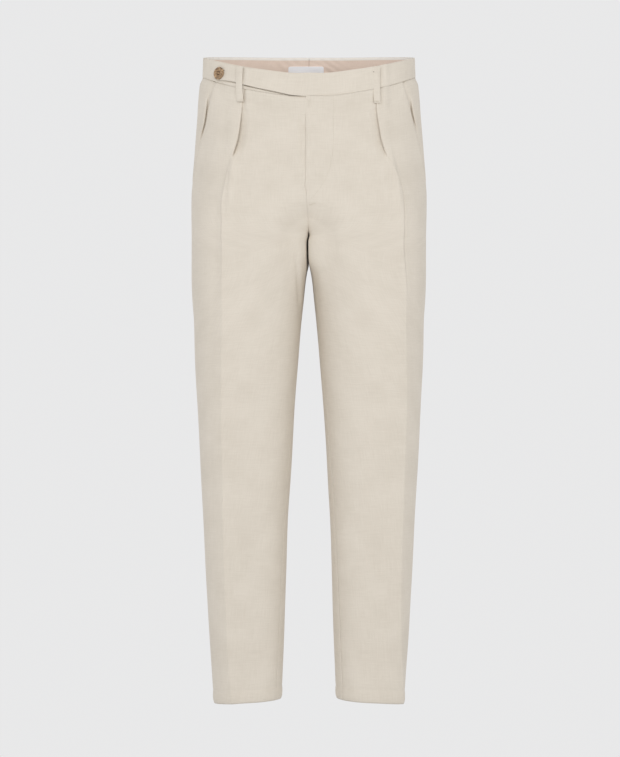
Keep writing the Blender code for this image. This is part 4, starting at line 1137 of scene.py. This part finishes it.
for name, side, reach, at_back, top, length, width, lifts, skew, tilt in LOOPS:
    lines = []
    for share in np.linspace(0.0, 1.0, 34):
        walk, total = walk_round(side, level_heights(top - length * share))
        middle = length_at_x(walk, total, reach, at_back)
        end_lift = lifts[0] if share < 0.5 else lifts[2]
        lift = end_lift + (lifts[1] - end_lift) * smooth_curve(LOOP_STEPS, LOOP_HUMP, share)
        across = np.linspace(-0.5, 0.5, 13)
        along = middle + width * across + skew * math.sin(3.0 * share)
        crown = 0.35 - 0.54 * (2 * across) ** 4 - 0.25 * bump(np.abs(across), 0.36, 0.05)
        crown = crown + 0.5 * abs(tilt) + tilt * across
        lines.append(lifted(walk, along, lift + crown, -length * share))
    outside = (0.0, 1.0 if at_back else -1.0, 0.0)
    loop = cloth_grid(name + "_cloth", *zip(*lines), LOOP_WALL - 0.3, outside, rounded=True)
    finish_cloth(loop, wool, name)

# ------------------------------------------------------------------------------
# Button: turned horn with a raised rim, a dished middle and four holes, sewn through the right band
# with two lengths of thread and passed through the hole near the tab's tip.
BUTTON_WIDTH = 20.5
BUTTON_PLACE = 141.2
BUTTON_DROP = 19.2
# The outline that is turned about its middle: share of its radius, height
BUTTON_SECTION = (
    (0.0, 0.0), (0.80, 0.0), (0.92, 0.25), (0.98, 0.9), (1.0, 1.7), (0.985, 2.6), (0.945, 3.25),
    (0.88, 3.6), (0.81, 3.55), (0.74, 3.2), (0.66, 2.65), (0.54, 2.4), (0.0, 2.3),
)
BUTTON_HOLE = 2.1
BUTTON_HOLE_SPREAD = 2.9
BUTTON_TURN = math.radians(-12.0)
HOLE_PLACES = [BUTTON_HOLE_SPREAD * Vector((math.cos(angle), math.sin(angle), 0.0))
               for angle in BUTTON_TURN + math.pi / 4 + np.arange(4) * math.pi / 2]

walk, total = walk_round(RIGHT, band_heights(BUTTON_DROP))
seat, facing = spot(walk, np.array([length_at_x(walk, total, BUTTON_PLACE)]))
seat = Vector(seat[0] + facing[0] * (TAB_LIFT + BAND_WALL / 2 + SEAM_GAP))
facing = Vector(facing[0])
level = Vector((0, 0, 1)).cross(facing).normalized()
upright = facing.cross(level)
turned = Matrix.Translation(seat * METRE) @ Matrix((level, upright, facing)).transposed().to_4x4()

button_shape = bmesh.new()
corners = []
for share, height in BUTTON_SECTION:
    corners.append(button_shape.verts.new((share * BUTTON_WIDTH / 2 * METRE, 0.0, height * METRE)))
edges = [button_shape.edges.new(pair) for pair in zip(corners[:-1], corners[1:])]
bmesh.ops.spin(button_shape, geom=corners + edges, cent=(0, 0, 0), axis=(0, 0, 1), angle=2 * math.pi,
               steps=56, use_merge=True)
bmesh.ops.remove_doubles(button_shape, verts=button_shape.verts, dist=0.00001)
bmesh.ops.recalc_face_normals(button_shape, faces=button_shape.faces)
blank = make_object("button_blank", button_shape)
drills = []
for hole_place in HOLE_PLACES:
    drill_shape = bmesh.new()
    bmesh.ops.create_cone(drill_shape, cap_ends=True, segments=14, radius1=BUTTON_HOLE / 2 * METRE,
                          radius2=BUTTON_HOLE / 2 * METRE, depth=0.012)
    bmesh.ops.translate(drill_shape, verts=drill_shape.verts, vec=hole_place * METRE)
    drills.append(make_object("drill", drill_shape))
    hole = blank.modifiers.new("hole", "BOOLEAN")
    hole.object = drills[-1]
    hole.solver = "EXACT"
bpy.context.view_layer.update()
drilled = bpy.data.meshes.new_from_object(blank.evaluated_get(bpy.context.evaluated_depsgraph_get()))
drilled.name = "button_horn"
drilled.transform(turned)
drilled.shade_smooth()
drilled.set_sharp_from_angle(angle=math.radians(40.0))
for spare in [blank, *drills]:
    bpy.data.objects.remove(spare, do_unlink=True)
button = bpy.data.objects.new("button_horn", drilled)
bpy.context.scene.collection.objects.link(button)

horn = bpy.data.materials.new("turned horn")
horn.use_nodes = True
tree = horn.node_tree
shader = tree.nodes["Principled BSDF"]
shader.inputs["Coat Weight"].default_value = 0.5
shader.inputs["Coat Roughness"].default_value = 0.12
place = add_node(tree, "TexCoord")
grain_place = add_node(tree, "Mapping", {"Location": tuple(-seat * METRE), "Scale": (160.0, 160.0, 420.0)})
grain = add_node(tree, "TexNoise", {"Scale": 1.0, "Detail": 4.0, "Distortion": 0.8})
tones = add_node(tree, "ValToRGB")
tones.color_ramp.elements[0].position = 0.34
tones.color_ramp.elements[0].color = (0.125, 0.070, 0.035, 1.0)
tones.color_ramp.elements[1].position = 0.68
tones.color_ramp.elements[1].color = (0.560, 0.380, 0.215, 1.0)
middle_tone = tones.color_ramp.elements.new(0.52)
middle_tone.color = (0.340, 0.205, 0.100, 1.0)
polish = add_node(tree, "MapRange", {"To Min": 0.22, "To Max": 0.42})
wire(tree, (place, "Object", grain_place, "Vector"), (grain_place, "Vector", grain, "Vector"),
     (grain, "Fac", tones, "Fac"), (grain, "Fac", polish, "Value"), (tones, "Color", shader, "Base Color"),
     (polish, "Result", shader, "Roughness"))
button.data.materials.clear()
button.data.materials.append(horn)
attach(button, "root")
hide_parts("button")

# ------------------------------------------------------------------------------
# Sewing: tone-on-tone thread in the curved row that holds the fly's facing, in bar tacks at the fly and
# across the loops' lower ends and in the purled edge of the buttonhole; brown sewing thread through the
# button; a dark brown stitch at the buttonhole's end as painted shadow in its opening; a small dark brown
# mark beside the left front loop.
thread = woven("sewing thread", (0.700, 0.640, 0.540), (0.600, 0.540, 0.440), 2600.0, 0.00010, 0.08)
shown = bpy.context.evaluated_depsgraph_get()


def surface_of(piece):
    """The piece's finished surface, to set stitches on."""
    return BVHTree.FromObject(piece, shown)


def land(tree, x, z, from_behind=False):
    """Where a needle straight from the front or the back meets the cloth."""
    way = Vector((0.0, -1.0 if from_behind else 1.0, 0.0))
    hit, normal, index, far = tree.ray_cast(Vector((x * METRE, -0.4 * way.y, z * METRE)), way)
    return hit, normal


def lay_stitch(shape, start, finish, normal, width):
    """One stitch: a short soft-ended thread lying along the cloth, half sunk in it."""
    along = finish - start
    made = bmesh.ops.create_icosphere(shape, subdivisions=1, radius=0.5)
    across = normal.cross(along).normalized()
    up = along.cross(across).normalized()
    turn = Matrix((along.normalized(), across, up)).transposed().to_4x4()
    size = Matrix.Diagonal((along.length * 1.08, width, width * 0.8, 1.0))
    place = Matrix.Translation((start + finish) / 2 + normal * width * 0.12) @ turn @ size
    bmesh.ops.transform(shape, matrix=place, verts=made["verts"])


def stitch_between(shape, tree, start, finish, width, from_behind=False):
    """A stitch between two (x, z) places, if the needle meets the cloth at both."""
    first, normal = land(tree, *start, from_behind)
    last = land(tree, *finish, from_behind)[0]
    if first is not None and last is not None:
        lay_stitch(shape, first, last, normal, width * METRE)


def sew_row(shape, tree, route, pitch, width):
    """A row of stitches along a smooth route of (x, z) points."""
    route = np.array(route, dtype=float)
    runs = np.concatenate(((0.0,), np.cumsum(np.linalg.norm(np.diff(route, axis=0), axis=1))))
    for stitch in range(int(runs[-1] / pitch)):
        ends = []
        for share in (stitch + 0.12, stitch + 0.88):
            ends.append([float(smooth_curve(runs, route[:, axis], share * pitch)) for axis in (0, 1)])
        stitch_between(shape, tree, *ends, width)


def sew_tack(shape, tree, x, z, length, slant, from_behind=False):
    """A bar tack: close zigzag threads across a short line."""
    aside = 0.9 * math.sin(slant)
    above = 0.9 * math.cos(slant)
    for thread_count in range(11):
        share = thread_count / 10 - 0.5
        here_x = x + length * share * math.cos(slant)
        here_z = z + length * share * math.sin(slant)
        stitch_between(shape, tree, (here_x - aside, here_z + above),
                       (here_x + aside + 0.3, here_z - above), 0.5, from_behind)


sewing = bmesh.new()
left_front = surface_of(front_left)
sew_row(sewing, left_front, ((39.0, -62.0), (39.2, -100.0), (39.0, -140.0), (37.0, -165.0), (31.5, -188.0),
                             (22.0, -208.0), (11.0, -224.0), (2.0, -233.0)), 3.1, 0.42)
sew_tack(sewing, left_front, 4.8, -240.8, 9.0, math.radians(14.0))
sew_tack(sewing, left_front, 34.5, -56.0, 5.0, math.radians(80.0))
for name, side, reach, at_back, top, length, width, lifts, skew, tilt in LOOPS:
    loop_tree = surface_of(bpy.data.objects[name + "_cloth"])
    sew_tack(sewing, loop_tree, side * reach, top - length + 3.0, width - 3.0, 0.0, at_back)
tab_cloth = surface_of(waistband_left)
for step in range(5):
    x = -138.4 + 0.75 * step
    for z in (-25.9, -23.8):
        stitch_between(sewing, tab_cloth, (x, z + 1.0), (x, z), 0.45)

brown_thread_and_painted_shadow = woven("brown thread and painted shadow", (0.110, 0.075, 0.050), (0.080, 0.055, 0.035), 2600.0, 0.00010, 0.05)
brown_sewing_and_painted_shadow = bmesh.new()
over_holes = Vector((0.0, 0.0, 2.5))
for first, second in ((0, 1), (2, 3)):
    ends = [turned @ ((HOLE_PLACES[hole] + over_holes) * METRE) for hole in (first, second)]
    lay_stitch(brown_sewing_and_painted_shadow, *ends, facing, 0.8 * METRE)
# Painted shadow: a dark brown stitch at the buttonhole's end stands for the shade in its opening
stitch_between(brown_sewing_and_painted_shadow, tab_cloth, (-138.6, -24.7), (-135.4, -23.9), 0.9)
# A small dark brown mark beside the left front loop
stitch_between(brown_sewing_and_painted_shadow, tab_cloth, (102.9, -28.0), (104.2, -28.7), 1.4)

for name, shape, yarn, slot in (("sewing", sewing, thread, "wool"),
                                ("brown_sewing_and_painted_shadow", brown_sewing_and_painted_shadow, brown_thread_and_painted_shadow, "horn")):
    stitches = make_object(name, shape)
    stitches.data.shade_smooth()
    stitches.data.materials.append(yarn)
    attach(stitches, "root")
